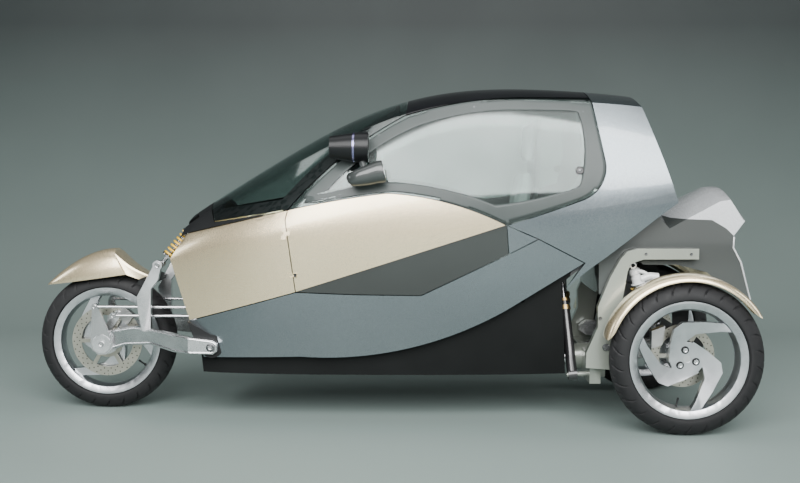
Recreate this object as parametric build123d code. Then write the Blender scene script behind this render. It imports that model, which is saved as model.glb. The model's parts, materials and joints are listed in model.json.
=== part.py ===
from build123d import *
import math
import os

os.makedirs("parts", exist_ok=True)

# A narrow two-seat car on three wheels, in millimetres. +X is forward, +Y is the driver's left, +Z is up.
# The origin is on the floor, below the middle of the vehicle.
# The cabin and the front wheel lean together about a low axis. The rear wheels, engine and tail stay upright.

# Wheels
wheelbase = 2375
rear_track = 840
front_tyre_radius = 293
front_tyre_width = 110
rear_tyre_radius = 300
rear_tyre_width = 120
rim_radius = 229
bead_radius = 216
front_axle_x = 1191
rear_axle_x = front_axle_x - wheelbase
rear_wheel_y = rear_track / 2

# Leaning axis: it passes through the front tyre's crown and rises to the rear
lean_rise = 0.0875
lean_crown_z = front_tyre_width / 2
lean_axle_x = front_axle_x
lean_length = math.hypot(1, lean_rise)
lean_back = (-1 / lean_length, 0, lean_rise / lean_length)
lean_up = (lean_rise / lean_length, 0, 1 / lean_length)
lean_axis = Axis((lean_axle_x, 0, lean_crown_z), lean_back)
rear_wall_x = -741

# Front springs, left side: lower and upper eye
spring_foot = (933, 120, 633)
spring_head = (802, 120, 782)
eye_radius = 8

# Rear springs, left side: lower and upper eye
rear_spring_foot = (-1104, 226, 362)
rear_spring_head = (-1007, 226, 645)

# Wall thicknesses, each measured inwards from the body's outer surface
glass_depth = 6
cap_depth = 10
skin_depth = 7
door_depth = 28
wall_depth = 34
frame_depth = 50
tub_depth = 46
seam = 4

# Door hinges, left side: a vertical axis in the seam in front of the door
hinge_x = 391
hinge_y = 341
door_hinges = ((586, 343), (752, 369))
hinge_pin_radius = 3
knuckle_radius = 6.5
knuckle_length = 16

# Luggage frame sockets in the rear ends of the side frames
rack_y = 281
rack_z = 697
rack_radius = 4
rack_depth = 25

# Lean cylinders: how far each is behind the cabin's rear wall, so that their rods can cross at full lean,
# then the left one's lower pin and upper eye
cylinder_behind = {"left": 31, "right": 59}
pin_y = 197
pin_radial = -36.5
pin_radius = 9
head_y = 37
head_radial = 417.7

# Steering and leaning parts
kingpin_radius = 10
carrier_radius = 54
axle_radius = 14
shaft_radius = 30
bearing_radius = 54
run_gap = 0.05


def lean_point(x, radius):
    """Return the point in the middle plane at this x and this distance above the leaning axis."""
    along = (lean_axle_x + lean_up[0] * radius - x) / -lean_back[0]
    return (x, 0, lean_crown_z + along * lean_back[2] + radius * lean_up[2])


def lean_place(behind, y, radius):
    """Return the point this far behind the cabin's rear wall, at this y and height above the leaning axis."""
    x, _, z = lean_point(rear_wall_x, 0)
    return (
        x + behind * lean_back[0] + radius * lean_up[0], y, z + behind * lean_back[2] + radius * lean_up[2])


def lean_turned(pairs):
    """Turn a closed outline of (x, radius) pairs about the leaning axis."""
    corners = [lean_point(x, radius) for x, radius in pairs]
    return revolve(make_face(Polyline(*corners, close=True)), lean_axis, 360)


def side_face(edges):
    """Join side-view edges. A pair is a corner, a triple is an arc: start, middle, end."""
    curves = []
    for edge in edges:
        ends = [(x, 0, z) for x, z in edge]
        if len(ends) == 2:
            curves.append(Line(*ends))
        else:
            curves.append(ThreePointArc(*ends))
    return make_face(curves)


def side_polygon(corners):
    """Return the edges of a straight-sided outline."""
    return [(corners[i], corners[(i + 1) % len(corners)]) for i in range(len(corners))]


def about(x, z, pairs):
    """Return the edges of a straight-sided outline, given from one point: forward and up."""
    return side_polygon([(x + forward, z + up) for forward, up in pairs])


def side_prism(edges, y_from, y_to, inset=0):
    """Push a side-view outline across the vehicle, made smaller all round by the inset."""
    face = side_face(edges)
    if inset:
        face = offset(face, amount=-inset, kind=Kind.TANGENT)
    return Pos(0, y_from, 0) * extrude(face, amount=y_to - y_from, dir=(0, 1, 0))


def slab(x_from, x_to, y_from, y_to, z_from, z_to):
    """Return a block between two corners."""
    size = (x_to - x_from, y_to - y_from, z_to - z_from)
    centre = ((x_from + x_to) / 2, (y_from + y_to) / 2, (z_from + z_to) / 2)
    return Pos(*centre) * Box(*size)


def bar(start, end, radius):
    """Return a round bar from one point to another."""
    line = Vector(*end) - Vector(*start)
    middle = (Vector(*start) + Vector(*end)) * 0.5
    return Plane(origin=middle, z_dir=line) * Cylinder(radius, line.length)


def across(x, z, y_from, y_to, radius):
    """Return a round bar that lies across the vehicle."""
    return bar((x, y_from, z), (x, y_to, z), radius)


def turned_across(profile, x, z):
    """Turn a closed outline of (radius, y) pairs about an axle that lies across the vehicle."""
    corners = [(x, y, z + radius) for radius, y in profile]
    return revolve(make_face(Polyline(*corners, close=True)), Axis((x, 0, z), (0, 1, 0)), 360)


def other_side(shape):
    """Return the mirror image on the vehicle's other side."""
    return mirror(shape, about=Plane.XZ)


def both_sides(shape):
    """Return a shape with its mirror image as separate solids."""
    return Compound(children=list(shape.solids()) + list(other_side(shape).solids()))


def save(name, shape):
    """Write one sub-part."""
    export_step(shape, f"parts/{name}.step")


# Body surface: sections from the nose to the tail, joined smoothly.
# x, top z, roof edge y and z, shoulder y and z, lower edge y and z
body_sections = [
    (900, 765, 110, 738, 195, 640, 178, 190),
    (720, 893, 165, 856, 262, 700, 246, 190),
    (380, 1102, 220, 1040, 338, 770, 286, 190),
    (0, 1285, 248, 1222, 364, 812, 290, 190),
    (-450, 1364, 256, 1308, 368, 845, 270, 190),
    (-850, 1351, 250, 1296, 362, 885, 215, 190),
    (-1215, 1285, 232, 1240, 345, 965, 150, 190),
]
side_share = 0.45
tuck_share = (0.26, 0.50)
tub_base = 195


def bow(start, middle, end):
    """Return a shallow curve through three points."""
    pull = Vector(*middle) * 2 - (Vector(*start) + Vector(*end)) * 0.5
    return Bezier(start, pull, end)


def body_wire(section, depth):
    """Return one closed section of the body surface, moved inwards by the depth."""
    x, top_z, roof_y, roof_z, wide_y, wide_z, low_y, low_z = section
    top_z -= depth
    roof_z -= depth
    roof_y -= 0.8 * depth
    wide_y -= depth
    low_y -= depth
    side_z = wide_z + side_share * (roof_z - wide_z)
    tuck_y = wide_y - (wide_y - low_y) * tuck_share[0]
    tuck_z = wide_z - (wide_z - low_z) * tuck_share[1]
    return Wire([
        bow((x, -roof_y, roof_z), (x, 0, top_z), (x, roof_y, roof_z)),
        Bezier((x, roof_y, roof_z), (x, wide_y, side_z), (x, wide_y, wide_z)),
        bow((x, wide_y, wide_z), (x, tuck_y, tuck_z), (x, low_y, low_z)),
        Line((x, low_y, low_z), (x, -low_y, low_z)),
        bow((x, -low_y, low_z), (x, -tuck_y, tuck_z), (x, -wide_y, wide_z)),
        Bezier((x, -wide_y, wide_z), (x, -wide_y, side_z), (x, -roof_y, roof_z)),
    ])


body_forms = {}


def body_form(depth):
    """Return the solid inside the body surface at this depth below its skin."""
    if depth not in body_forms:
        body_forms[depth] = Solid.make_loft([body_wire(section, depth) for section in body_sections])
    return body_forms[depth]


def body_panel(edges, outer, inner, y_from=0, y_to=600, inset=seam / 2):
    """Cut one panel of the body between two depths, inside a side-view outline."""
    block = side_prism(edges, y_from, y_to, inset)
    return (body_form(outer) & block) - body_form(inner)


# The underside of the cabin's rear end is turned about the leaning axis: x and radius
underside = [
    (rear_wall_x, 0), (rear_wall_x + lean_up[0] * 470, 470), (-796, 529), (-870, 568), (-950, 613),
    (-1066, 681),
    (-1160, 733), (-1260, 790),
]
rear_void = lean_turned(underside + [(-1260, 0)])
floor_skin = 10
rear_floor_band = lean_turned(
    underside[1:] + [(x, radius + floor_skin) for x, radius in reversed(underside[1:])])

# Side-view seams of the body: each is a corner or an arc
pillar_foot = (380, 868)
pillar_top = (-87, 1246)
roof_rear = (-825, 1318)
door_corner = (389, 829)
door_foot = (349, 541)
door_tail = (-486, 813)
skin_peak = (-16, 937)
above = 1430
pillar_curve = (pillar_foot, (189, 1060), pillar_top)
roof_curve = (pillar_top, (-330, 1300), (-560, 1318))
roof_line = ((-560, 1318), roof_rear)
rear_line = (roof_rear, (-874, 1054))
rear_curve = ((-874, 1054), (-852, 968), (-788, 915))
rear_foot = ((-788, 915), (-640, 862), door_tail)
belt_rear = (door_tail, (-245, 903), skin_peak)
belt_front = (skin_peak, (165, 911), pillar_foot)
glass_foot = (690, 816)
glass_nose = (735, 912)
nose_top = (812, 765)
nose_tip = (881, 662)
nose_foot = (796, 411)
lower_door = [(-496, 699), (-151, 532), (105, 534)]
quarter_point = (-612, 759)
sill_tail = (-796, 664)


def flip(edge):
    """Return an edge run the other way."""
    return tuple(reversed(edge))


windscreen_edges = [
    ((-101, above), pillar_top), flip(pillar_curve), (pillar_foot, glass_foot), (glass_foot, glass_nose),
    (glass_nose, (735, above)), ((735, above), (-101, above)),
]
roof_edges = [
    (pillar_top, (-101, above)), ((-101, above), (-805, above)), ((-805, above), roof_rear),
    flip(roof_line), flip(roof_curve),
]
nose_cap_edges = side_polygon([
    pillar_foot, nose_top, (848, 742), (809, 832), (800, 930), glass_nose, glass_foot])
nose_panel_edges = side_polygon([nose_top, nose_tip, nose_foot, door_foot, door_corner, pillar_foot])
cap_seat_edges = side_polygon([(470, 843.6), (805.3, 763.6), (810, 785), (690, 812), (500, 845)])
door_skin_edges = [
    (pillar_foot, door_corner), (door_corner, door_foot), (door_foot, door_tail), belt_rear, belt_front,
]
door_lower_edges = side_polygon([door_foot, door_tail] + lower_door)
door_window_edges = [
    pillar_curve, roof_curve, roof_line, rear_line, rear_curve, rear_foot, belt_rear, belt_front,
]
clear_window_edges = [
    ((235, 930), (70, 1085), (-137, 1201)), ((-137, 1201), (-340, 1252), (-560, 1266)),
    ((-560, 1266), (-770, 1262)),
    ((-770, 1262), (-790, 1080)), ((-790, 1080), (-768, 965)), ((-768, 965), (-610, 920), (-438, 893)),
    ((-438, 893), (-256, 950), (-30, 982)), ((-30, 982), (110, 967), (235, 930)),
]
door_whole_edges = [
    pillar_curve, roof_curve, roof_line, rear_line, rear_curve, rear_foot,
    (door_tail, lower_door[0]), (lower_door[0], lower_door[1]), (lower_door[1], lower_door[2]),
    (lower_door[2], door_foot), (door_foot, door_corner), (door_corner, pillar_foot),
]
quarter_edges = side_polygon([door_tail, lower_door[0], quarter_point])
side_panel_edges = [
    (nose_foot, door_foot), (door_foot, lower_door[2]), (lower_door[2], lower_door[1]),
    (lower_door[1], lower_door[0]), (lower_door[0], quarter_point), (quarter_point, sill_tail),
    (sill_tail, (-495, 474)), ((-495, 474), (-120, 318), (332, 275)), ((332, 275), (735, 262)),
    ((735, 262), (757, 300)), ((757, 300), nose_foot),
]
rear_shell_edges = [
    flip(rear_foot), flip(rear_curve), flip(rear_line), (roof_rear, (-805, above)),
    ((-805, above), (-980, above)), ((-980, above), (-1232, 700)), ((-1232, 700), (-720, 560)),
    ((-720, 560), sill_tail), (sill_tail, quarter_point), (quarter_point, door_tail),
]

# Fixed body panels
rear_wall = side_prism(
    side_polygon([(-982, 1422), (-1233, 698), (-1203, 688), (-952, 1412)]), -600, 600) & body_form(2)
window_hole = slab(-1300, -900, -185, 185, 1000, 1235)
window_hole = fillet(window_hole.edges().filter_by(Axis.X), 40)

rear_shell = body_panel(rear_shell_edges, 0, wall_depth, -600, 600)
rear_shell = rear_shell + (rear_wall & side_prism(rear_shell_edges, -600, 600, seam / 2))
rear_shell = rear_shell - rear_void - window_hole
rear_glass = side_prism(
    side_polygon([(-1018, 1292), (-1132, 960), (-1126.3, 958), (-1012.3, 1290)]), -600, 600) & window_hole

windscreen = body_panel(windscreen_edges, 0, glass_depth, -600, 600)
screen_border = side_prism(windscreen_edges, -600, 600, 3) - side_prism(windscreen_edges, -601, 601, 45)
screen_zone = side_prism(
    side_polygon([(-60, above), (-60, 1100), (640, 700), (800, 700), (800, above)]), -600, 600)
screen_frame = ((body_form(glass_depth) & screen_border) - body_form(wall_depth)) & screen_zone
roof_panel = body_panel(roof_edges, 0, wall_depth, -600, 600)

nose_cap = body_panel(nose_cap_edges, 0, cap_depth, -600, 600)
nose_wall = side_prism(side_polygon([(806, 838), (844, 745), (834, 741), (796, 834)]), -84, 84) & body_form(2)
spring_room = bar(spring_foot, tuple(Vector(*spring_head) * 1.3 - Vector(*spring_foot) * 0.3), 31)
nose_cap = nose_cap + nose_wall - spring_room - other_side(spring_room)
cap_seat = body_panel(cap_seat_edges, cap_depth, 2 * cap_depth, 100, 600, 0)
nose_panel = body_panel(nose_panel_edges, 0, wall_depth) + cap_seat - spring_room


def hinge_knuckle(z_from, z_to, web_x):
    """Return one knuckle of a door hinge with the web that ties it to its panel."""
    radius = knuckle_radius
    web = slab(min(hinge_x, web_x), max(hinge_x, web_x), hinge_y - 24, hinge_y + 2, z_from, z_to)
    return bar((hinge_x, hinge_y, z_from), (hinge_x, hinge_y, z_to), radius) + web


nose_zone = side_prism(side_polygon([door_foot, door_corner, (430, 829), (430, 541)]), 200, 600)
door_straps = None
for z, strap_x in door_hinges:
    middle_z = (z + knuckle_length, z + 2 * knuckle_length)
    fixed = hinge_knuckle(z, middle_z[0], hinge_x + 14)
    fixed = fixed + hinge_knuckle(middle_z[1], middle_z[1] + knuckle_length, hinge_x + 14)
    fixed = fixed + bar((hinge_x, hinge_y, z), (hinge_x, hinge_y, z + 3 * knuckle_length), hinge_pin_radius)
    nose_panel = nose_panel - bar(
        (hinge_x, hinge_y, middle_z[0]), (hinge_x, hinge_y, middle_z[1]), knuckle_radius + 1.5)
    nose_panel = nose_panel + fixed
    strap = hinge_knuckle(middle_z[0] + 0.3, middle_z[1] - 0.3, strap_x)
    strap = strap - bar((hinge_x, hinge_y, z), (hinge_x, hinge_y, z + 60), hinge_pin_radius + run_gap)
    strap = strap - (body_form(-0.4) & nose_zone) - body_form(skin_depth - 0.5)
    door_straps = strap if door_straps is None else door_straps + strap
side_panel = body_panel(side_panel_edges, 0, wall_depth) - rear_void
quarter_panel = body_panel(quarter_edges, 0, wall_depth)

# Floor tub: the body's own form inside the walls, with a flat floor
tub_top = side_polygon([
    (745, tub_base), (800, 705), (640, 705), (500, 500), (-560, 500), (-640, 640), (-640, 742), (-745, 742),
    (-745, tub_base)])
tub_room = side_polygon([
    (733, tub_base + 14), (786, 760), (500, 760), (-680, 900), (-722, tub_base + 14)])
floor_tub = (body_form(wall_depth) & side_prism(tub_top, -600, 600)) - rear_void
floor_tub = floor_tub - (body_form(tub_depth) & side_prism(tub_room, -600, 600))
tower = side_prism(
    side_polygon([(735, 640), (780, 640), (813, 772), (806, 792), (790, 790), (748, 705)]), 76, 90)
tower = tower + across(spring_head[0], spring_head[2], 76, 134, eye_radius)
floor_tub = floor_tub + tower + other_side(tower)
rear_floor = (rear_floor_band & body_form(wall_depth)) - side_prism(
    side_polygon([(-952, 1412), (-1203, 688), (-1400, 688), (-1400, 1412)]), -600, 600)
rear_floor = rear_floor - side_prism(
    side_polygon([(-640, 100), (-640, 900), (-745, 900), (-745, 100)]), -600, 600)

# Hoops of the roll cage, seen from the side, against the inside of the walls
hoop_edges = [
    side_polygon([(-70, above), (-110, 1230), (340, 860), (395, 690), (395, 470), (440, 470), (445, 700),
                  (400, 880), (-40, 1275), (-25, above)]),
    side_polygon([(-840, above), (-885, 1190), (-905, 1040), (-870, 930), (-760, 850), (-600, 780),
                  (-560, 640),
                  (-600, 470), (-650, 470), (-620, 640), (-650, 740), (-790, 800), (-930, 900), (-955, 1040),
                  (-935, 1190), (-890, above)]),
]
spine_edges = side_polygon([
    (-60, 1340), (-60, 1240), (-300, 1280), (-560, 1300), (-890, 1285), (-890, 1366), (-500, 1390)])
roll_frame = (body_form(wall_depth) & side_prism(spine_edges, -60, 60)) - body_form(frame_depth)
for edges in hoop_edges:
    hoop = (body_form(wall_depth) & side_prism(edges, -600, 600)) - body_form(frame_depth)
    roll_frame = roll_frame + hoop
roll_frame = roll_frame - rear_void - rear_floor_band - side_prism(tub_top, -600, 600)

save("rear_shell", rear_shell)
save("roof_panel", roof_panel)
save("nose_cap", nose_cap)
save("nose_panels", both_sides(nose_panel))
save("side_panels", both_sides(Compound(children=side_panel.solids() + quarter_panel.solids())))
save("cabin_glass", Compound(children=windscreen.solids() + rear_glass.solids()))
save("screen_frame", screen_frame)
save("floor_tub", floor_tub)
save("rear_floor", rear_floor)
save("roll_frame", roll_frame)

# Doors
door_skin = body_panel(door_skin_edges, 0, skin_depth)
door_skin = door_skin + door_straps
door_lower = body_panel(door_lower_edges, 0, skin_depth)
door_glass = body_panel(door_window_edges, 0, glass_depth)
door_shape = body_panel(door_whole_edges, skin_depth, door_depth)
window_room = side_prism(clear_window_edges, 0, 600)
door_frame = door_shape - window_room

# Lamp pod and mirror pod, both on the door's front upper corner
lamp_x = (58, 210)
lamp_y = 338
lamp_z = 1117
lamp_radii = (60, 43)
lamp_pod = bar((lamp_x[0], lamp_y, lamp_z), (lamp_x[0] + 40, lamp_y, lamp_z), lamp_radii[0])
lamp_cone = Plane(origin=((lamp_x[0] + 40 + lamp_x[1]) / 2, lamp_y, lamp_z), z_dir=(1, 0, 0)) * Cone(
    lamp_radii[0], lamp_radii[1], lamp_x[1] - lamp_x[0] - 40)
lamp_hollow = bar((lamp_x[1] - 22, lamp_y, lamp_z), (lamp_x[1] + 5, lamp_y, lamp_z), lamp_radii[1] - 6)
lamp_pod = (lamp_pod + lamp_cone) - lamp_hollow - body_form(0)
lamp_lens = bar((lamp_x[1] - 8, lamp_y, lamp_z), (lamp_x[1] - 4, lamp_y, lamp_z), lamp_radii[1] - 6)
mirror_outline = side_prism(
    side_polygon([(138, 996), (122, 965), (4, 982), (-8, 1020), (16, 1068), (75, 1042), (132, 1014)]),
    352, 452)
mirror_plan = extrude(
    make_face(Polyline((140, 385, 900), (140, 425, 900), (110, 450, 900), (-10, 452, 900), (-10, 352, 900),
                       (60, 352, 900), close=True)), amount=200, dir=(0, 0, 1))
mirror_pod = mirror_outline & mirror_plan
mirror_stalk = bar((62, 380, 1010), (70, 290, 1012), 12) - body_form(0)
pods = Compound(children=lamp_pod.solids() + (mirror_pod + mirror_stalk).solids())

for side, turn in (("left", lambda shape: shape), ("right", other_side)):
    save(f"door_skin_{side}", turn(door_skin))
    save(f"door_lower_{side}", turn(door_lower))
    save(f"door_glass_{side}", turn(door_glass))
    save(f"door_frame_{side}", turn(door_frame))
    save(f"door_pods_{side}", turn(pods))
    save(f"lamp_lens_{side}", turn(lamp_lens))

# Wheel spokes: three bent arms, traced in the wheel's own plane as seen from the left (forward, up)
spoke_outline = [
    (70, -14), (66, 52), (54, 118), (23, 143), (-60, 147), (-160, 140), (-196, 108), (-124, 110), (-31, 98),
    (0, 72), (20, 0),
]


def wheel(x, y, z, rim_width, dish, hub_bore, hub_half, spin):
    """Build one wheel: rim, hub and three bent spokes under a dished face."""
    half = rim_width / 2
    rim = turned_across([
        (rim_radius, y - half), (rim_radius, y - half + 6), (bead_radius, y - half + 9),
        (bead_radius, y - half + 24),
        (198, y - half + 34), (198, y + half - 34), (bead_radius, y + half - 24), (bead_radius, y + half - 9),
        (rim_radius, y + half - 6), (rim_radius, y + half), (rim_radius - 6, y + half), (200, y + half - 6),
        (191, y + half - 34), (191, y - half + 34), (200, y - half + 6), (rim_radius - 6, y - half)], x, z)
    spokes = None
    for step in range(3):
        angle = math.radians(spin + 120 * step)
        corners = []
        for forward, up in spoke_outline:
            corners.append((x + forward * math.cos(angle) - up * math.sin(angle), 0,
                            z + forward * math.sin(angle) + up * math.cos(angle)))
        arm = extrude(make_face(Polyline(*corners, close=True)), amount=600, dir=(0, 1, 0))
        arm = Pos(0, y - 300, 0) * arm
        spokes = arm if spokes is None else spokes + arm
    face = turned_across([(0, y + dish[0][0]), (68, y + dish[0][0]), (196, y + dish[1][0]),
                          (196, y + dish[1][1]), (68, y + dish[0][1]), (0, y + dish[0][1])], x, z)
    hub = across(x, z, y + hub_half[0], y + hub_half[1], 66)
    body = rim + (spokes & face) + hub
    return body - across(x, z, y - 200, y + 200, hub_bore)


def tyre(x, y, z, radius, width, rim_width):
    """Build one tyre, hollow and open towards its rim, with its beads inside the rim's flanges."""
    half = width / 2
    middle = radius - half
    rim_half = rim_width / 2
    wall = 9
    side = [
        (half, middle), (rim_half + 1.5, rim_radius + 2), (rim_half - 6.2, rim_radius + 1.5),
        (rim_half - 9.2, bead_radius + 0.2), (rim_half - 21.5, bead_radius + 0.2),
        (rim_half - 13.5, rim_radius),
        (half - wall, middle),
    ]
    right = [(x, y + out, z + up) for out, up in side]
    left = [(x, y - out, z + up) for out, up in side]
    tread = ThreePointArc(left[0], (x, y, z + radius), right[0])
    lining = ThreePointArc(right[-1], (x, y, z + radius - wall), left[-1])
    section = make_face(
        [tread, lining]
        + [Line(right[i], right[i + 1]) for i in range(len(side) - 1)]
        + [Line(left[i + 1], left[i]) for i in range(len(side) - 1)])
    return revolve(section, Axis((x, 0, z), (0, 1, 0)), 360)


def disc(x, y_from, y_to, z, radius, bore):
    """Build one brake disc: a ring on a spider with six legs."""
    plate = across(x, z, y_from, y_to, radius) - across(x, z, y_from - 1, y_to + 1, bore)
    windows = across(x, z, y_from - 1, y_to + 1, radius * 0.74)
    windows = windows - across(x, z, y_from - 1, y_to + 1, bore + 15)
    for step in range(3):
        leg = Pos(x, (y_from + y_to) / 2, z) * Rot(0, 60 * step, 0) * Box(2 * radius, 20, 16)
        windows = windows - leg
    return plate - windows


front_rim_width = 89
rear_rim_width = 98
front_z = front_tyre_radius
rear_z = rear_tyre_radius
save("front_tyre", tyre(front_axle_x, 0, front_z, front_tyre_radius, front_tyre_width, front_rim_width))
save("front_wheel", wheel(front_axle_x, 0, front_z, front_rim_width, ((-18, 18), (-22, 19)),
                          carrier_radius + run_gap, (-34, 34), -65.7))
save("front_disc", disc(front_axle_x, 34, 40, front_z, 150, carrier_radius + 1))
rear_tyre = tyre(rear_axle_x, rear_wheel_y, rear_z, rear_tyre_radius, rear_tyre_width, rear_rim_width)
rear_wheel = wheel(
    rear_axle_x, rear_wheel_y, rear_z, rear_rim_width, ((-12, 12), (2, 38)), 15 + run_gap, (-60, 12), 0)
rear_disc = disc(rear_axle_x, rear_wheel_y - 66, rear_wheel_y - 60, rear_z, 125, 48)
for side, turn in (("left", lambda shape: shape), ("right", other_side)):
    save(f"rear_tyre_{side}", turn(rear_tyre))
    save(f"rear_wheel_{side}", turn(rear_wheel))
    save(f"rear_disc_{side}", turn(rear_disc))

# Front suspension: leading arms, with a strut on each that carries the spring
arm_side = side_polygon([
    (671, 325), (690, 338), (967, 371), (1043, 374), (1135, 353), (1191, 339), (1230, 318), (1237, 293),
    (1230, 268), (1191, 247), (1135, 272), (1085, 292), (968, 306), (858, 285), (690, 282), (673, 295)])
arm_plan = extrude(
    make_face(Polyline((660, 266, 150), (778, 266, 150), (958, 174, 150), (1140, 84, 150), (1240, 84, 150),
                       (1240, 112, 150), (1146, 112, 150), (966, 203, 150), (790, 294, 150), (660, 294, 150),
                       close=True)), amount=400, dir=(0, 0, 1))
arm = side_prism(arm_side, 60, 320) & arm_plan
strut_side = side_polygon([
    (1000, 360), (1015, 435), (1021, 501), (969, 597), (950, 632), (920, 618), (930, 574), (961, 535),
    (964, 360)])
strut_y = (172, 200)
strut = side_prism(strut_side, *strut_y) + across(spring_foot[0], spring_foot[2], *strut_y, 20)
arm = arm + strut + across(spring_foot[0], spring_foot[2], 104, strut_y[0], eye_radius)
arm = arm - across(front_axle_x, front_z, 60, 140, axle_radius)
save("front_arms", both_sides(arm))

pivot_x = 699
pivot_z = 310
boss = across(pivot_x, pivot_z, 200, 266, 47)
boss = boss + side_prism(side_polygon([(796, 411), (700, 357), (675, 300), (740, 292), (757, 300)]), 200, 266)
boss = boss - body_form(0)
save("pivot_bosses", both_sides(boss))

# Front axle with its kingpin and the two levers that keep it upright
axle = across(front_axle_x, front_z, -126, 126, axle_radius)
axle = axle + bar((front_axle_x, 0, front_z - 53), (front_axle_x, 0, front_z + 53), kingpin_radius)
lever = side_prism(about(front_axle_x, front_z, [
    (-44, -22), (-44, 18), (9, 147), (15, 169), (31, 169), (37, 155), (46, 7), (39, -25), (14, -45),
    (-21, -43),
]), 112, 126)
lever = lever - across(front_axle_x, front_z, 100, 130, axle_radius)
save("front_axle", Compound(children=(axle + lever + other_side(lever)).solids()))

# Steered hub: a drum round the kingpin, inside the wheel's hub
carrier = across(front_axle_x, front_z, -44, 58, carrier_radius) - across(front_axle_x, front_z, -60, 60, 40)
carrier = carrier - bar(
    (front_axle_x, 0, front_z - 80), (front_axle_x, 0, front_z + 80), kingpin_radius + run_gap)
steering_arm = side_prism(
    about(front_axle_x, front_z, [(-20, 44), (-64, 112), (-64, 134), (-44, 134), (16, 46)]), 46, 58)
steering_arm = steering_arm - across(front_axle_x, front_z, 40, 60, 50)
carrier = carrier + steering_arm + across(front_axle_x - 54, front_z + 122, 58, 104, 9)
save("hub_carrier", carrier)
caliper = side_prism(
    about(front_axle_x, front_z, [(-96, 74), (-122, 112), (-78, 150), (-64, 136), (-64, 92)]), 25, 60)
caliper = caliper - across(front_axle_x, front_z, 31, 43, 152)
save("front_caliper", caliper)

# Link rods: the upper ones hold the axle's levers, the lower left one steers
rod_y = 134
tub_block = side_prism(tub_top, -600, 600)
hold_eye = (front_axle_x + 23, front_z + 159)
steer_eye = (front_axle_x - 54, front_z + 122)
hold_rod = bar((740, rod_y, hold_eye[1]), (hold_eye[0] - 12, rod_y, hold_eye[1]), 6)
hold_rod = hold_rod + across(hold_eye[0], hold_eye[1], 126, 141, 14) - tub_block
steer_rod = bar((740, rod_y, steer_eye[1]), (steer_eye[0] - 12, rod_y, steer_eye[1]), 6)
steer_rod = steer_rod + across(steer_eye[0], steer_eye[1], 127, 141, 14) - tub_block
save("link_rods", Compound(children=hold_rod.solids() + other_side(hold_rod).solids() + steer_rod.solids()))

# Springs and dampers
def coil_over(foot, head, coil_radius, wire_radius, turns, body_radius, coil_from, coil_to):
    """Return the spring and the damper between two eyes: the coils, and the rod, body, seats and eyes."""
    line = Vector(*head) - Vector(*foot)
    base = Plane(origin=foot, z_dir=line)
    length = line.length
    low = length * coil_from
    high = length * coil_to
    pitch = (high - low - 2 * wire_radius) / turns
    helix = Pos(0, 0, low + wire_radius) * Helix(pitch=pitch, height=pitch * turns, radius=coil_radius)
    start = Plane(origin=helix @ 0, z_dir=helix % 0)
    coil = sweep(start * Circle(wire_radius), path=helix, is_frenet=True)
    seat = coil_radius + wire_radius + 1
    profile = [
        (0, 0), (body_radius * 0.6, 0), (body_radius * 0.6, low - 6), (seat, low - 6), (seat, low),
        (body_radius * 0.45, low), (body_radius * 0.45, length * 0.45), (body_radius, length * 0.45),
        (body_radius, high), (seat, high), (seat, high + 6), (body_radius * 0.6, high + 6),
        (body_radius * 0.6, length), (0, length),
    ]
    corners = [(radius, 0, up) for radius, up in profile]
    damper = revolve(make_face(Polyline(*corners, close=True)), Axis.Z, 360)
    placed = base * damper
    for eye in (foot, head):
        placed = placed + across(eye[0], eye[2], eye[1] - 14, eye[1] + 14, eye_radius + 6)
        placed = placed - across(eye[0], eye[2], eye[1] - 20, eye[1] + 20, eye_radius)
    return base * coil, placed


front_spring, front_damper = coil_over(spring_foot, spring_head, 22, 4.5, 6, 13, 0.24, 0.86)
save("front_springs", both_sides(front_spring))
save("front_dampers", both_sides(front_damper))
rear_spring, rear_damper = coil_over(rear_spring_foot, rear_spring_head, 30, 6, 5, 20, 0.16, 0.72)
save("rear_springs", both_sides(rear_spring))
save("rear_dampers", both_sides(rear_damper))

# Front mudguard: a pointed hood that stays still above the steered tyre
def fender_solid(inset):
    """Return a solid between the mudguard's side outline and its plan, made smaller by the inset."""
    front = (1452 - 2 * inset, 534 - inset)
    rear = (992 + inset, 590 - inset)
    crown = (1159, 688 - inset)
    edges = [(front, (1320, 634 - inset), crown), (crown, (1086, 634 - inset), rear)]
    if inset:
        edges += [(rear, (rear[0], 300)), ((rear[0], 300), (front[0], 300)), ((front[0], 300), front)]
    else:
        edges += [(rear, (1022, 548)), ((1022, 548), (1100, 576)), ((1100, 576), front)]
    wide = 88 - inset
    tail = 52 - inset
    shoulder = 56 - inset
    tip = (1456 - 3 * inset, 0, 250)
    plan = make_face([
        Line((985, -tail, 250), (1110, -wide, 250)),
        Line((1110, -wide, 250), (1270, -wide, 250)),
        ThreePointArc((1270, -wide, 250), (1400, -shoulder, 250), tip),
        ThreePointArc(tip, (1400, shoulder, 250), (1270, wide, 250)),
        Line((1270, wide, 250), (1110, wide, 250)),
        Line((1110, wide, 250), (985, tail, 250)),
        Line((985, tail, 250), (985, -tail, 250)),
    ])
    return side_prism(edges, -200, 200) & extrude(plan, amount=600, dir=(0, 0, 1))


fender = fender_solid(0) - fender_solid(5)
stay = side_prism(side_polygon([(986, 540), (1026, 551), (1014, 574), (980, 560)]), -strut_y[0], strut_y[0])
fender = fender + stay
save("front_fender", fender)

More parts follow.
